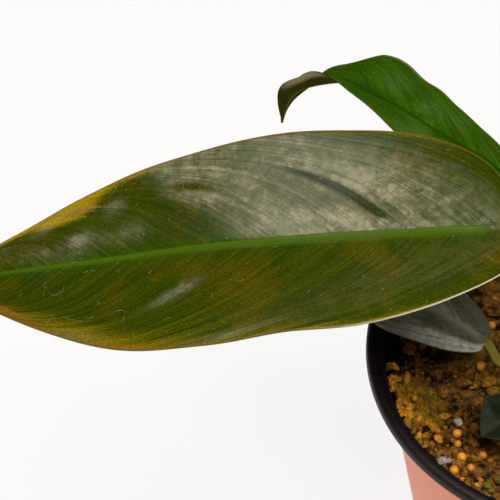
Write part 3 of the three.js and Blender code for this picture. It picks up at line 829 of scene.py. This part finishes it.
def soil_material():
    """Dark fibres and brown lumps, with painted shade in places and painted light toward the wall."""
    finish = Finish("Potting mix")
    place = finish.place()
    lumps = finish.noise(place, 330.0, 4.0, 0.65, 0.4)
    fibres = finish.noise(place, 900.0, 3.0, 0.7)
    cloud = finish.noise(place, 70.0)
    color = finish.mix(lumps.ramp(0.4, 0.62), (0.006, 0.0025, 0.0006), (0.17, 0.07, 0.01))
    color = finish.mix(cloud.ramp(0.48, 0.68), color, (0.2, 0.11, 0.007))
    color = finish.mix(finish.attribute("tone").ramp(0.15, 1.0) * 0.85, color, (0.5, 0.22, 0.016))
    # painted shade: the mix made nearly black along the wall, and a painted shadow under the low leaf
    lift = fibres.ramp(0.3, 0.7, 0.5, 1.4) * finish.attribute("painted_shade").ramp(0.1, 0.9, 1.0, 0.06)
    # painted light: the mix lighter toward the wall, where the lip shades it
    lift = lift * finish.from_axis().ramp(44.0 * MM, 50.0 * MM, 1.0, 1.8)
    rough = cloud.ramp(0.3, 0.7, 0.75, 0.92)
    return finish.done(finish.shade(color, lift), rough, 0.12, lumps + fibres * 0.5, 0.8, 0.0006)


def stem_material():
    finish = Finish("Stem bark")
    x, y, z = finish.parts(finish.place())
    streaks = finish.noise(finish.vector(x * 500.0, y * 500.0, z * 90.0), 1.0)
    scars = finish.math('SINE', z * (TAU / (SCAR_PITCH * MM)))
    color = finish.mix(z.ramp(0.09, 0.124), (0.09, 0.055, 0.02), (0.1, 0.13, 0.02))
    color = finish.mix(streaks.ramp(0.4, 0.7), color, (0.16, 0.12, 0.05))
    color = finish.mix(scars.ramp(0.7, 1.0) * 0.6, color, (0.03, 0.016, 0.006))
    return finish.done(color, streaks.ramp(0.3, 0.7, 0.5, 0.8), 0.5, streaks, 0.5, 0.0004)


def new_leaf_material():
    finish = Finish("Rolled leaf")
    u, v, _ = finish.parts(finish.own_map())
    along = finish.attribute("along")
    streaks = finish.noise(finish.vector(u * 6.0, v * 40.0), 1.0, 4.0)
    color = finish.mix(along.ramp(0.0, 0.55), (0.12, 0.09, 0.01), (0.2, 0.035, 0.008))
    color = finish.mix(streaks.ramp(0.45, 0.7), color, (0.3, 0.08, 0.012))
    color = finish.mix(along.ramp(0.9, 1.0), color, (0.1, 0.02, 0.006))
    return finish.done(color, streaks.ramp(0.3, 0.7, 0.26, 0.4), 0.5, streaks)


def on_leaf(leaf, t, s, lift):
    """Places on the upper face of a leaf, a little above it."""
    here, _ = leaf_points(leaf, t, s, np.zeros_like(t))
    return here + np.array([0, 0, lift])


def tube_piece(name, way, radius, sides):
    """An even tube along a way."""
    along = unit(np.gradient(way, axis=0))
    up = np.array([0.0, 0.0, 1.0])
    steep = np.abs(along @ up)[:, None] > 0.95
    side = unit(np.cross(along, np.where(steep, [[0.0, 1.0, 0.0]], up[None])))
    other = np.cross(along, side)
    piece, column, row = grid_piece(name, sides + 1, len(way))
    a = (TAU * column / sides)[:, None]
    place_points(piece, way[row] + radius * (np.cos(a) * side[row] + np.sin(a) * other[row]))
    in_edit_mode(piece, merge_close, close_ends, face_outwards)
    shade_smooth(piece, 60)
    return piece


def lump_model(name, seed, squash, rough):
    """One crumb, about two millimetres across, to be copied."""
    piece = added(bpy.ops.mesh.primitive_ico_sphere_add, name, subdivisions=2, radius=MM)
    for vertex in piece.data.vertices:
        place = vertex.co / MM
        bulge = 1 + rough * noise.noise(place * 1.1 + Vector((seed * 7.3, seed, 0)))
        vertex.co = Vector([place[k] * squash[k] * bulge * MM for k in range(3)])
    return piece


def scatter(model, places, name):
    """Copies of one model, each turned, sized and toned on its own, joined into one piece."""
    copies = []
    for position, size, turn, tone in places:
        copy = model.copy()
        copy.data = model.data.copy()
        bpy.context.collection.objects.link(copy)
        copy.data.transform(Matrix.LocRotScale(Vector(position) * MM, Euler(turn), Vector(size)))
        attribute = copy.data.attributes.new("tone", 'FLOAT', 'POINT')
        attribute.data.foreach_set("value", np.full(len(copy.data.vertices), tone, np.float32))
        copies.append(copy)
    bpy.data.objects.remove(model)
    return joined(copies, name)


FIBRE_RADIUS, FIBRE_LIFT = 0.027, 0.14

# Dust fibres on the front leaf: place along, place across, length in millimetres, heading, bend.
FIBRES = [
    (0.641, 0.88, 3.6, 0.6, 0.5), (0.612, 0.94, 4.4, 0.3, -0.4), (0.593, 0.92, 1.8, -0.6, 0.9),
    (0.489, 0.6, 2.8, -1.2, 1.2), (0.487, 0.55, 2.0, -0.3, -1.0), (0.519, 0.68, 1.4, 1.4, 0.6),
    (0.757, -0.29, 2.6, -1.5, 1.0), (0.737, -0.42, 4.2, 0.1, 1.3), (0.724, -0.36, 2.4, 1.2, 0.8),
    (0.741, -0.86, 2.6, 1.3, -0.6), (0.733, -0.76, 2.0, -0.4, 1.5), (0.73, -0.9, 1.6, 0.2, 0.9),
    (0.7, -0.74, 5.2, -0.1, 0.25), (0.671, -0.68, 2.4, 0.3, 0.6), (0.626, -0.6, 4.6, 0.25, -0.8),
    (0.618, -0.68, 1.6, 1.5, 0.3), (0.635, 0.22, 1.2, 0.9, 0.4), (0.713, 0.03, 1.6, -0.4, 1.4),
    (0.69, -0.12, 2.2, 0.1, 0.9), (0.676, -0.12, 1.4, 0.0, 0.2), (0.634, -0.15, 1.8, 0.1, 0.2),
    (0.745, 0.92, 1.6, 0.9, 0.5), (0.705, 0.88, 1.8, -0.9, 1.1), (0.479, -0.52, 1.8, 1.0, 0.8),
    (0.433, -0.4, 1.8, 0.2, 0.4), (0.373, -0.07, 1.6, 0.15, 0.3), (0.22, -0.18, 1.0, 0.8, 0.3),
    (0.459, 0.48, 1.6, 1.1, 1.0), (0.387, 0.53, 2.4, 1.3, -1.2), (0.37, 0.62, 1.8, 0.2, 1.2),
    (0.3, 0.5, 1.4, -0.8, 0.7), (0.58, -0.2, 1.3, 0.3, 0.5), (0.66, -0.5, 1.2, -0.9, 0.6),
    (0.55, -0.7, 1.5, 0.6, -0.9), (0.6, 0.6, 1.3, 0.4, 1.1), (0.8, -0.5, 1.2, 0.9, 0.5),
    (0.77, 0.45, 1.3, 1.2, 0.9), (0.46, -0.8, 1.2, -0.3, 0.8), (0.33, -0.6, 1.2, 0.7, 0.7),
]


def build_fibres(leaf):
    """Short curled hairs of dust that lie on a leaf."""
    length = spine_length(leaf)
    steps = np.linspace(-0.5, 0.5, 9)
    fibres = []
    for k, (t, s, reach, heading, bend) in enumerate(FIBRES):
        angle = heading + bend * steps * 2
        x = np.cumsum(np.cos(angle)) * (reach / 8)
        y = np.cumsum(np.sin(angle)) * (reach / 8)
        x, y = x - x.mean(), y - y.mean()
        width = max(4.0, float(blade_width(leaf, np.array([t]))[0]))
        way = on_leaf(leaf, t - x / length, np.clip(s + y / width, -0.97, 0.97), FIBRE_LIFT)
        fibres.append(tube_piece("fibre_%d" % k, way, FIBRE_RADIUS, 5))
    return joined(fibres, "dust_fibres")


# Potting mix.

# What lies in front of the stem: x, y, radius in millimetres, tone.
BEADS_IN_FRONT = [
    (-24.4, 0.5, 1.5, 0.9), (-33.4, -31.3, 1.5, 0.95), (-36.0, -35.6, 1.4, 0.9), (-34.1, -23.7, 1.4, 0.8),
    (-31.1, -35.0, 1.2, 0.65), (-19.4, 15.8, 1.4, 0.55), (-27.2, -30.9, 1.3, 0.6), (-45.5, 5.7, 1.2, 0.4),
    (-41.6, 8.6, 1.1, 0.35), (-50.5, -7.2, 1.2, 0.35), (-45.6, -10.9, 1.1, 0.45), (-34.1, -26.8, 1.2, 0.62),
]
PERLITE_IN_FRONT = [(-33.2, -19.9, 1.4, 0.6), (-39.0, -32.6, 1.5, 0.9), (-37.0, -32.3, 0.9, 0.5)]
MOSS_IN_FRONT = [
    (-26.9, -41.2, 1.3, 0.7), (-26.2, -42.8, 1.0, 0.5), (-24.0, -39.4, 1.2, 0.3), (-22.8, -38.9, 1.0, 0.5),
]
WALL_LUMPS = [
    (-51.0, -7.0, 1.6, 0.8), (-49.6, -11.8, 1.9, 0.45), (-48.0, -15.4, 1.6, 0.9), (-46.4, -19.4, 2.0, 0.4),
    (-43.4, -24.2, 1.7, 0.6), (-40.4, -28.8, 1.8, 0.35), (-47.0, -8.0, 1.5, 0.5), (-44.6, -18.2, 1.5, 0.8),
    (-44.4, -14.4, 1.6, 0.55), (-40.6, -20.8, 1.9, 0.7), (-37.4, -26.0, 1.4, 0.3), (-34.8, -30.0, 1.5, 0.5),
    (-33.0, -36.8, 1.6, 0.4), (-30.0, -31.6, 1.5, 0.65), (-41.2, -5.2, 1.8, 0.35), (-36.2, -9.0, 1.6, 0.6),
    (-38.4, -14.6, 1.5, 0.25), (-38.2, 11.2, 1.7, 0.5), (-33.4, 15.4, 1.6, 0.4),
]


def soil_height(x, y):
    r = np.hypot(x, y)
    lumps = 0.55 * np.sin(x * 0.42 + 1.1) * np.sin(y * 0.37 + 0.4)
    lumps = lumps + 0.5 * np.sin(x * 0.19 - y * 0.27 + 2.0) + 0.35 * np.sin(x * 0.71 + y * 0.55)
    dome = 0.3 * np.cos(np.minimum(r, 50) / 50 * math.pi) + 0.006 * r * np.sin(3 * np.arctan2(y, x))
    return SOIL_TOP + dome + lumps * (1 - 0.6 * smooth((r - 36) / 12))


def seeded(seed):
    """The part's own number generator, so that crumbs lie where the solid has them."""
    state = seed

    def draw():
        nonlocal state
        state = (state + 0x6D2B79F5) & 0xFFFFFFFF
        v = ((state ^ (state >> 15)) * (1 | state)) & 0xFFFFFFFF
        v = ((v + (((v ^ (v >> 7)) * (61 | v)) & 0xFFFFFFFF)) & 0xFFFFFFFF) ^ v
        return (v ^ (v >> 14)) / 4294967296
    return draw


def build_soil():
    """The potting mix as one closed body with the stem's hole, its top broken into crumbs."""
    around, steps = 330, 96
    top_radii = np.linspace(HOLE_RADIUS, MIX_RADIUS, steps)
    radii = np.concatenate([[0.0, HOLE_RADIUS], top_radii, [52.7, 48.6, 47.9, 31.0, 0.0]])
    below = [90.35, 89.75, 88.8, SOIL_FOOT, SOIL_FOOT]
    fixed = np.concatenate([[HOLE_FLOOR] * 2, np.full(steps, np.nan), below])
    piece, column, row = grid_piece("soil_fine", around + 1, len(radii))
    a = TAU * column / around
    r, z = radii[row], fixed[row]
    x, y = r * np.cos(a), r * np.sin(a)
    rough = np.array([noise.fractal(Vector((i * 0.36, j * 0.36, 3.1)), 0.9, 2.1, 4) for i, j in zip(x, y)])
    pits = np.array([noise.noise(Vector((i * 0.27, j * 0.27, 9.4))) for i, j in zip(x, y)])
    fade = smooth((52.4 - r) / 3.0) * smooth((r - 7.0) / 1.5)
    top = soil_height(x, y) + (1.5 * rough - 1.6 * smooth(pits * 2.4 - 0.2)) * fade
    top = np.maximum(top, 90.3 + 0.6 * smooth((r - 50) / 2.5))
    z = np.where(np.isnan(z), top, z)
    place_points(piece, np.stack([x, y, z], -1))
    in_edit_mode(piece, merge_close, face_outwards)
    shade_smooth(piece, 40)
    attribute = piece.data.attributes.new("painted_shade", 'FLOAT', 'POINT')
    places = np.array([vertex.co[:2] for vertex in piece.data.vertices]) / MM
    attribute.data.foreach_set("value", painted_shade_places(places[:, 0], places[:, 1]).astype(np.float32))
    return piece


def painted_shade_places(x, y):
    """Where the mix is painted dark: painted shade along the wall, and a painted shadow under the low leaf.
    """
    wall = smooth((np.hypot(x, y) - 51.2) / 1.3)
    shadow_under_leaf = smooth(1.9 - np.hypot((x + 52.5) / 3.6, (y - 5.5) / 5.5))
    return np.maximum(wall, shadow_under_leaf)


def crumb_places(count, draw, low, high, sink, tall=0.75, tones=(0.0, 0.8), behind=False):
    places = []
    while len(places) < count:
        r = CRUMB_INNER + (CRUMB_OUTER - CRUMB_INNER) * math.sqrt(draw.random())
        a = TAU * draw.random()
        x, y = r * math.cos(a), r * math.sin(a)
        size = low + (high - low) * draw.random() ** 2
        if r + size > CRUMB_OUTER or (behind and x < OUT_OF_PICTURE) or painted_shade_places(x, y) > 0.4:
            continue
        z = float(soil_height(x, y))
        turn = (draw.uniform(-0.5, 0.5), draw.uniform(-0.5, 0.5), TAU * draw.random())
        places.append(((x, y, z - sink * size), (size, size * draw.uniform(0.7, 1.0), size * tall), turn,
                       draw.uniform(*tones)))
    return places


def front_places(table, draw, lift=0.3):
    places = []
    for x, y, size, tone in table:
        turn = (draw.uniform(0, 3), draw.uniform(0, 3), draw.uniform(0, 3))
        places.append(((x, y, float(soil_height(x, y)) + lift * size), (size, size, size), turn, tone))
    return places


def heaped_places(count, draw):
    """Crumbs heaped against the wall on the left."""
    places = []
    for _ in range(count):
        a, size = math.radians(draw.uniform(178, 214)), draw.uniform(0.8, 1.5)
        r = 53.6 - size - draw.uniform(0, 1.5) ** 2
        x, y = r * math.cos(a), r * math.sin(a)
        z = float(soil_height(x, y)) + draw.uniform(0.2, 1.4)
        turn = (draw.uniform(-0.6, 0.6), draw.uniform(-0.6, 0.6), TAU * draw.random())
        places.append(((x, y, z), (size, size * 0.85, size * 0.8), turn, draw.uniform(0.2, 0.85)))
    return places


SOLID_BEADS, SOLID_BARK = 20, 14


def solid_places():
    """The beads and bark that the solid has; the beads in front have a list of their own."""
    draw = seeded(36)
    beads, bark = [], []
    for k in range(SOLID_BEADS + SOLID_BARK):
        is_bead = k < SOLID_BEADS
        r = 11 + (35 if is_bead else 28) * math.sqrt(draw())
        a = TAU * draw()
        x, y = r * math.cos(a), r * math.sin(a)
        z = float(soil_height(x, y))
        if is_bead:
            size = 1.3 + 0.5 * draw()
            turn = (3 * draw(), 3 * draw(), 0.0)
            if x > OUT_OF_PICTURE:
                beads.append(((x, y, z + 0.25 * size), (size, size, size), turn, 0.35 + 0.2 * turn[0]))
        else:
            length = 5 + 5 * draw()
            width = 2.6 + 1.5 * draw()
            turn = (0.24 * (draw() - 0.5), 0.34 * (draw() - 0.5), TAU * draw())
            bark.append(((x, y, z + 0.35), (0.5 * length, 0.5 * width, 0.95), turn, (k % 4) / 4))
    return beads, bark


def build_stem():
    """The short stem, ringed by old leaf scars, rounded over at its top."""
    sides, steps = 72, 130
    foot = [58.4, 58.4, 58.8, 60.0, 72.0]
    heights = np.concatenate([foot, np.linspace(84, 127, steps), [128.2, 128.8, 129.0]])
    rounded = np.concatenate([[0.0, 4.6, 5.6, 6.0, 6.3], np.full(steps, np.nan), [2.9, 1.6, 0.0]])
    piece, column, row = grid_piece("stem_fine", sides + 1, len(heights))
    z, a, cap = heights[row], TAU * column / sides, rounded[row]
    scar = TAU * (z - SCAR_START) / SCAR_PITCH
    r = np.where(z < 92, 6.2, 6.2 - 1.9 * smooth((z - 92) / 34))
    r = r + np.where(z > 88, 0.28 * np.cos(scar), 0)
    ring = smooth(np.cos(scar + 0.5 * np.sin(a)) * 2 - 1.1)
    r = r - 0.12 * ring * (z > 88) + 0.1 * np.sin(7 * a + z * 0.3) * (z > 86)
    r = np.where(np.isnan(cap), r * (1 - 0.22 * smooth((z - 124) / 3)), cap)
    place_points(piece, np.stack([r * np.cos(a), r * np.sin(a), z], -1))
    in_edit_mode(piece, merge_close, face_outwards)
    shade_smooth(piece)
    return piece


def build_new_leaf():
    """The youngest leaf, still rolled, its free edge standing proud along the roll."""
    around, rows = 97, 170
    piece, column, row = grid_piece("new_leaf_fine", around, rows)
    t = np.linspace(0, 1, rows)[row]
    along = unit(keyed(SPIKE_WAY, np.minimum(1, t + 1e-3)) - keyed(SPIKE_WAY, np.maximum(0, t - 1e-3)))
    side = unit(np.cross(np.array([0.0, 1.0, 0.0]), along))
    other = np.cross(along, side)
    radius = 0.35 + keyed([2.7, 3.3, 3.5, 2.9, 1.5, 0.1], t)
    radius = np.where(t > 0.97, radius * np.sqrt(np.clip(1 - ((t - 0.97) / 0.03) ** 2, 0, 1)), radius)
    k = column / (around - 1)
    step = np.where(k < 0.03, 1.1 - 0.2 * (k / 0.03), 0.9 + 0.2 * (k - 0.03) / 0.97)
    a = TAU * k + 2.2 * t
    veins = 0.05 * np.sin(26 * TAU * k + 14 * t) * smooth((1 - t) / 0.2) * (k > 0.04)
    r = np.maximum(0.0, radius * step + veins * (radius > 0.6))
    r = np.where(row == rows - 1, 0.0, r)
    roll = side * (r * np.cos(a))[:, None] + other * (r * np.sin(a))[:, None]
    place_points(piece, keyed(SPIKE_WAY, t) + roll)
    write_values(piece, {"along": t, "u": t, "v": k})
    in_edit_mode(piece, merge_close, close_ends, face_outwards)
    shade_smooth(piece, 50)
    return piece


def cut_drains(piece):
    """Six holes through the nursery pot's floor."""
    cutters = []
    for k in range(6):
        a = TAU * (k + 0.5) / 6
        place = Vector((21 * math.cos(a), 21 * math.sin(a), 11)) * MM
        cutters.append(added(bpy.ops.mesh.primitive_cylinder_add, "drain",
                             vertices=28, radius=3.2 * MM, depth=6 * MM, location=place))
    cutter = joined(cutters, "drain_cutter")
    only(piece)
    cut = piece.modifiers.new("drains", 'BOOLEAN')
    cut.operation = 'DIFFERENCE'
    cut.solver = 'EXACT'
    cut.object = cutter
    bpy.ops.object.modifier_apply(modifier=cut.name)
    bpy.data.objects.remove(cutter)


# Colours that a leaf's finish adds to the settings, or puts in their place.
OLD_LEAF = {"Halo": (0.026, 0.07, 0.001), "Underside": (0.085, 0.075, 0.018),
            # the cream colour on the next line is a painted highlight along the front leaf's lower edge near
            # its base
            "Margin": (0.2, 0.12, 0.015), "Pale margin and glint": (0.97, 0.86, 0.6)}
FRESH_LEAF = {
    "Deep": (0.022, 0.066, 0.001), "Green": (0.038, 0.11, 0.002), "Olive": (0.05, 0.12, 0.008),
    # the dark colour for the band beside the rib, on the next line, is painted shade of the rib's channel
    "Rib": (0.014, 0.054, 0.001), "Halo": (0.017, 0.06, 0.001), "Sheen": (0.085, 0.145, 0.045),
    "Bloom": (0.1, 0.14, 0.06), "Margin": (0.05, 0.09, 0.01), "Pale margin and glint": (0.3, 0.26, 0.12),
    "Underside": (0.04, 0.045, 0.004), "Rust": (0.05, 0.022, 0.006),
}
DULL_LEAF = {
    "Deep": (0.04, 0.043, 0.024), "Green": (0.06, 0.063, 0.036), "Olive": (0.07, 0.064, 0.036),
    # the two pale colours on the next line are painted light on the low leaf, where the front leaf shades it
    "Sheen": (0.42, 0.43, 0.36), "Bloom": (0.45, 0.44, 0.36), "Rib": (0.14, 0.135, 0.09),
    "Halo": (0.06, 0.068, 0.034), "Margin": (0.1, 0.1, 0.05), "Pale margin and glint": (0.1, 0.1, 0.05),
    "Stalk": (0.16, 0.15, 0.025),
}
# the small front leaf: every colour darkened, painted shade of the front leaf above it
SHADED_LEAF = {
    **DULL_LEAF, "Deep": (0.007, 0.012, 0.006), "Green": (0.011, 0.018, 0.009),
    "Olive": (0.016, 0.02, 0.01), "Sheen": (0.024, 0.03, 0.014), "Bloom": (0.028, 0.034, 0.016),
    "Rib": (0.03, 0.042, 0.015), "Halo": (0.014, 0.018, 0.006), "Margin": (0.06, 0.06, 0.03),
    "Pale margin and glint": (0.06, 0.06, 0.03),
}


# Settings that a user would change.

def colour_setting(name, description, default):
    return bpy.props.FloatVectorProperty(name=name, description=description, subtype='COLOR', size=3,
                                         min=0, max=1, default=default)


class PlantLook(bpy.types.PropertyGroup):
    deep: colour_setting("Deep green", "Darkest green of the leaves", (0.026, 0.041, 0.001))
    green: colour_setting("Green", "Main green of the leaves", (0.044, 0.062, 0.001))
    olive: colour_setting("Olive", "Brown-green clouds on the older leaves", (0.066, 0.06, 0.001))
    gold: colour_setting("Gold", "Warm tone toward the margins", (0.35, 0.245, 0.004))
    rust: colour_setting("Rust", "Brown tone of the oldest places", (0.24, 0.12, 0.01))
    rib: colour_setting("Rib", "Green of the middle rib", (0.064, 0.125, 0.002))
    # the next two colours are painted sheen, pale colours in place of the overhead light's reflection
    sheen: colour_setting("Sheen", "Pale film on the older leaves", (0.205, 0.21, 0.117))
    bloom: colour_setting("Bloom", "Warmer places of the pale film", (0.345, 0.305, 0.2))
    stalk: colour_setting("Stalk", "Leaf stalks", (0.13, 0.14, 0.03))


class PotLook(bpy.types.PropertyGroup):
    cover: colour_setting("Cover pot", "Colour of the cover pot", (1.0, 0.325, 0.178))
    nursery: colour_setting("Nursery pot", "Colour of the nursery pot", (0.014, 0.009, 0.008))
    crumbs: bpy.props.IntProperty(name="Crumbs", description="Loose crumbs on the potting mix",
                                  default=620, min=0, max=3000)


class StageLook(bpy.types.PropertyGroup):
    panel_size: bpy.props.FloatProperty(name="Panel", description="Width of the soft overhead panel",
                                        unit='LENGTH', default=1.26, min=0.2, max=6)
    panel_power: bpy.props.FloatProperty(name="Power", description="Power of the overhead panel in watts",
                                         unit='POWER', default=42.0, min=0, max=1000)
    glow: bpy.props.FloatProperty(name="Floor glow", description="Light that the pale floor gives off itself",
                                  default=0.88, min=0, max=5)
    wall: bpy.props.FloatProperty(name="Wall light", description="Brightness of the walls round the floor",
                                  default=0.8, min=0, max=5)
    ceiling: bpy.props.FloatProperty(name="Ceiling light", description="Brightness of the dim ceiling",
                                     default=0.035, min=0, max=5)


class PLANT_OT_stage(bpy.types.Operator):
    """Adds the camera, the pale floor and the soft light"""
    bl_idname = "plant.stage"
    bl_label = "Stage"

    def execute(self, context):
        look = context.scene.plant_stage
        camera = added(bpy.ops.object.camera_add, "camera",
                       location=(-0.0953, -0.24615, 0.44156), rotation=(math.radians(40), 0, 0))
        camera.data.lens = 100
        camera.data.sensor_width = 36
        camera.data.clip_start = 0.01
        context.scene.camera = camera

        floor = added(bpy.ops.mesh.primitive_plane_add, "floor", size=8.0, location=(0, 0, 0))
        finish = Finish("Pale floor")
        finish.feed_all(finish.shader, {
            "Base Color": (0.1, 0.1, 0.1), "Roughness": 0.9, "Specular IOR Level": 0.1,
            "Emission Color": (1, 0.995, 0.98), "Emission Strength": look.glow})
        floor.data.materials.append(finish.material)

        panel = added(bpy.ops.object.light_add, "overhead_panel", type='AREA', location=(0.12, -0.42, 2.0))
        panel.data.shape = 'DISK'
        panel.data.size = look.panel_size
        panel.data.energy = look.panel_power
        panel.data.color = (1.0, 0.97, 0.92)
        aim = Vector((-0.08, 0.0, 0.15)) - panel.location
        panel.rotation_euler = aim.to_track_quat('-Z', 'Y').to_euler()

        world = bpy.data.worlds.new("room")
        context.scene.world = world
        world.use_nodes = True
        tree = Tree(world.node_tree)
        background = world.node_tree.nodes["Background"]
        upward = tree.parts(tree.node("ShaderNodeTexCoord", output="Generated"))[2]
        unseen = upward.ramp(0.15, 0.55, 0.3 * look.wall, look.ceiling)
        seen = tree.node("ShaderNodeLightPath", output="Is Camera Ray")
        tree.feed_all(background, {"Strength": unseen + seen * (0.7 * look.wall), "Color": (1, 1, 1)})
        context.scene.view_settings.view_transform = 'Standard'
        return {'FINISHED'}


class PLANT_OT_leaves(bpy.types.Operator):
    """Builds the fine leaves, each with its blade, rib and stalk in one skin"""
    bl_idname = "plant.leaves"
    bl_label = "Leaves"

    def execute(self, context):
        look = context.scene.plant_look
        names = [label for label in LEAF_COLOURS if hasattr(look, label.lower())]
        old = {**{label: tuple(getattr(look, label.lower())) for label in names}, **OLD_LEAF}
        front = leaf_material("Leaf old", old, 0.7, 0.08)
        matt = leaf_material("Leaf fresh matt", {**old, **FRESH_LEAF}, 0.1, 0.0)
        fresh = leaf_material("Leaf fresh", {**old, **FRESH_LEAF}, 0.15, 0.12)
        dull = leaf_material("Leaf dull", {**old, **DULL_LEAF}, 0.35, 0.12)
        shaded = leaf_material("Leaf young", {**old, **SHADED_LEAF}, 0.2, 0.03)
        finish = {"leaf_back_left": matt, "leaf_low_left": dull, "leaf_small_front": shaded,
                  "leaf_back_right": fresh, "leaf_right": fresh}
        for leaf in LEAVES:
            build_leaf(leaf, finish.get(leaf["node"], front))
        fibres = build_fibres(LEAVES[0])
        settle(fibres, plain_material("Dust fibre", (0.4, 0.39, 0.24), 0.8))
        return {'FINISHED'}


class PLANT_OT_stem(bpy.types.Operator):
    """Builds the stem and the rolled new leaf"""
    bl_idname = "plant.stem"
    bl_label = "Stem and new leaf"

    def execute(self, context):
        stem = build_stem()
        settle(stem, stem_material())
        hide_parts("stem")
        spike = build_new_leaf()
        settle(spike, new_leaf_material())
        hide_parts("new_leaf")
        return {'FINISHED'}


class PLANT_OT_soil(bpy.types.Operator):
    """Builds the potting mix and what lies on it: crumbs, bark, feed beads, perlite and moss"""
    bl_idname = "plant.soil"
    bl_label = "Potting mix"

    def execute(self, context):
        draw = random.Random(11)
        mix = soil_material()
        soil = build_soil()
        settle(soil, mix)
        half = context.scene.plant_pots.crumbs // 2
        flat = crumb_places(half, draw, 0.5, 1.9, 0.05) + front_places(WALL_LUMPS, draw, 0.1)
        flat += heaped_places(46, draw)
        round_lumps = crumb_places(half, draw, 0.6, 2.2, 0.1)
        beads, bark = solid_places()
        mixed = [
            scatter(lump_model("crumb", 1, (1.0, 1.0, 0.8), 0.35), round_lumps, "soil_crumbs_round"),
            scatter(lump_model("crumb", 2, (1.3, 0.8, 0.6), 0.5), flat, "soil_crumbs_flat"),
            scatter(lump_model("bark", 3, (1.25, 1.25, 0.95), 0.45), bark, "soil_bark"),
        ]
        for piece in mixed:
            shade_smooth(piece, 45)
            settle(piece, mix)
        beads += front_places(BEADS_IN_FRONT, draw)
        white = front_places(PERLITE_IN_FRONT, draw)
        white += crumb_places(22, draw, 0.7, 1.6, 0.1, 0.9, (0.4, 1.0), behind=True)
        beads = scatter(lump_model("bead", 4, (1, 1, 1), 0.08), beads, "feed_beads")
        shade_smooth(beads)
        settle(beads, tone_material("Feed bead", (0.3, 0.1, 0.03), (0.95, 0.34, 0.014), 0.4))
        perlite = scatter(lump_model("perlite", 5, (1, 0.9, 0.8), 0.6), white, "perlite")
        shade_smooth(perlite, 35)
        settle(perlite, tone_material("Perlite", (0.22, 0.16, 0.12), (0.52, 0.45, 0.4), 0.9, 0.6))
        green = front_places(MOSS_IN_FRONT, draw)
        moss = scatter(lump_model("moss", 6, (0.7, 1, 0.8), 0.6), green, "moss")
        shade_smooth(moss, 45)
        settle(moss, tone_material("Moss", (0.07, 0.075, 0.002), (0.2, 0.16, 0.003), 0.9, 0.8))
        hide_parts("soil")
        return {'FINISHED'}


class PLANT_OT_pots(bpy.types.Operator):
    """Builds the nursery pot and the cover pot"""
    bl_idname = "plant.pots"
    bl_label = "Pots"

    def execute(self, context):
        look = context.scene.plant_pots
        nursery = turned_piece("nursery_pot_fine", NURSERY_OUTLINE, POT_SIDES)
        cut_drains(nursery)
        shade_smooth(nursery, 40)
        settle(nursery, black_plastic_material(tuple(look.nursery)))
        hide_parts("nursery_pot")
        cover = turned_piece("cover_pot_fine", COVER_OUTLINE, POT_SIDES)
        shade_smooth(cover, 40)
        settle(cover, plain_material("Cover plastic", tuple(look.cover), 0.5, 0.05))
        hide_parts("cover_pot")
        return {'FINISHED'}


class PLANT_PT_panel(bpy.types.Panel):
    """The plant's settings and its building steps"""
    bl_idname = "PLANT_PT_panel"
    bl_label = "Potted philodendron"
    bl_space_type = 'VIEW_3D'
    bl_region_type = 'UI'
    bl_category = "Plant"

    def draw(self, context):
        layout = self.layout
        for group in (context.scene.plant_look, context.scene.plant_pots, context.scene.plant_stage):
            for name in type(group).__annotations__:
                layout.prop(group, name)
        for operator in OPERATORS:
            layout.operator(operator.bl_idname)


OPERATORS = (PLANT_OT_stage, PLANT_OT_pots, PLANT_OT_soil, PLANT_OT_stem, PLANT_OT_leaves)
CLASSES = (PlantLook, PotLook, StageLook, *OPERATORS, PLANT_PT_panel)


def register():
    for cls in CLASSES:
        bpy.utils.register_class(cls)
    bpy.types.Scene.plant_look = bpy.props.PointerProperty(type=PlantLook)
    bpy.types.Scene.plant_pots = bpy.props.PointerProperty(type=PotLook)
    bpy.types.Scene.plant_stage = bpy.props.PointerProperty(type=StageLook)


def unregister():
    del bpy.types.Scene.plant_stage
    del bpy.types.Scene.plant_pots
    del bpy.types.Scene.plant_look
    for cls in reversed(CLASSES):
        bpy.utils.unregister_class(cls)


def main():
    register()
    bpy.ops.plant.stage()
    bpy.ops.plant.pots()
    bpy.ops.plant.soil()
    bpy.ops.plant.stem()
    bpy.ops.plant.leaves()


if __name__ == "__main__":
    main()
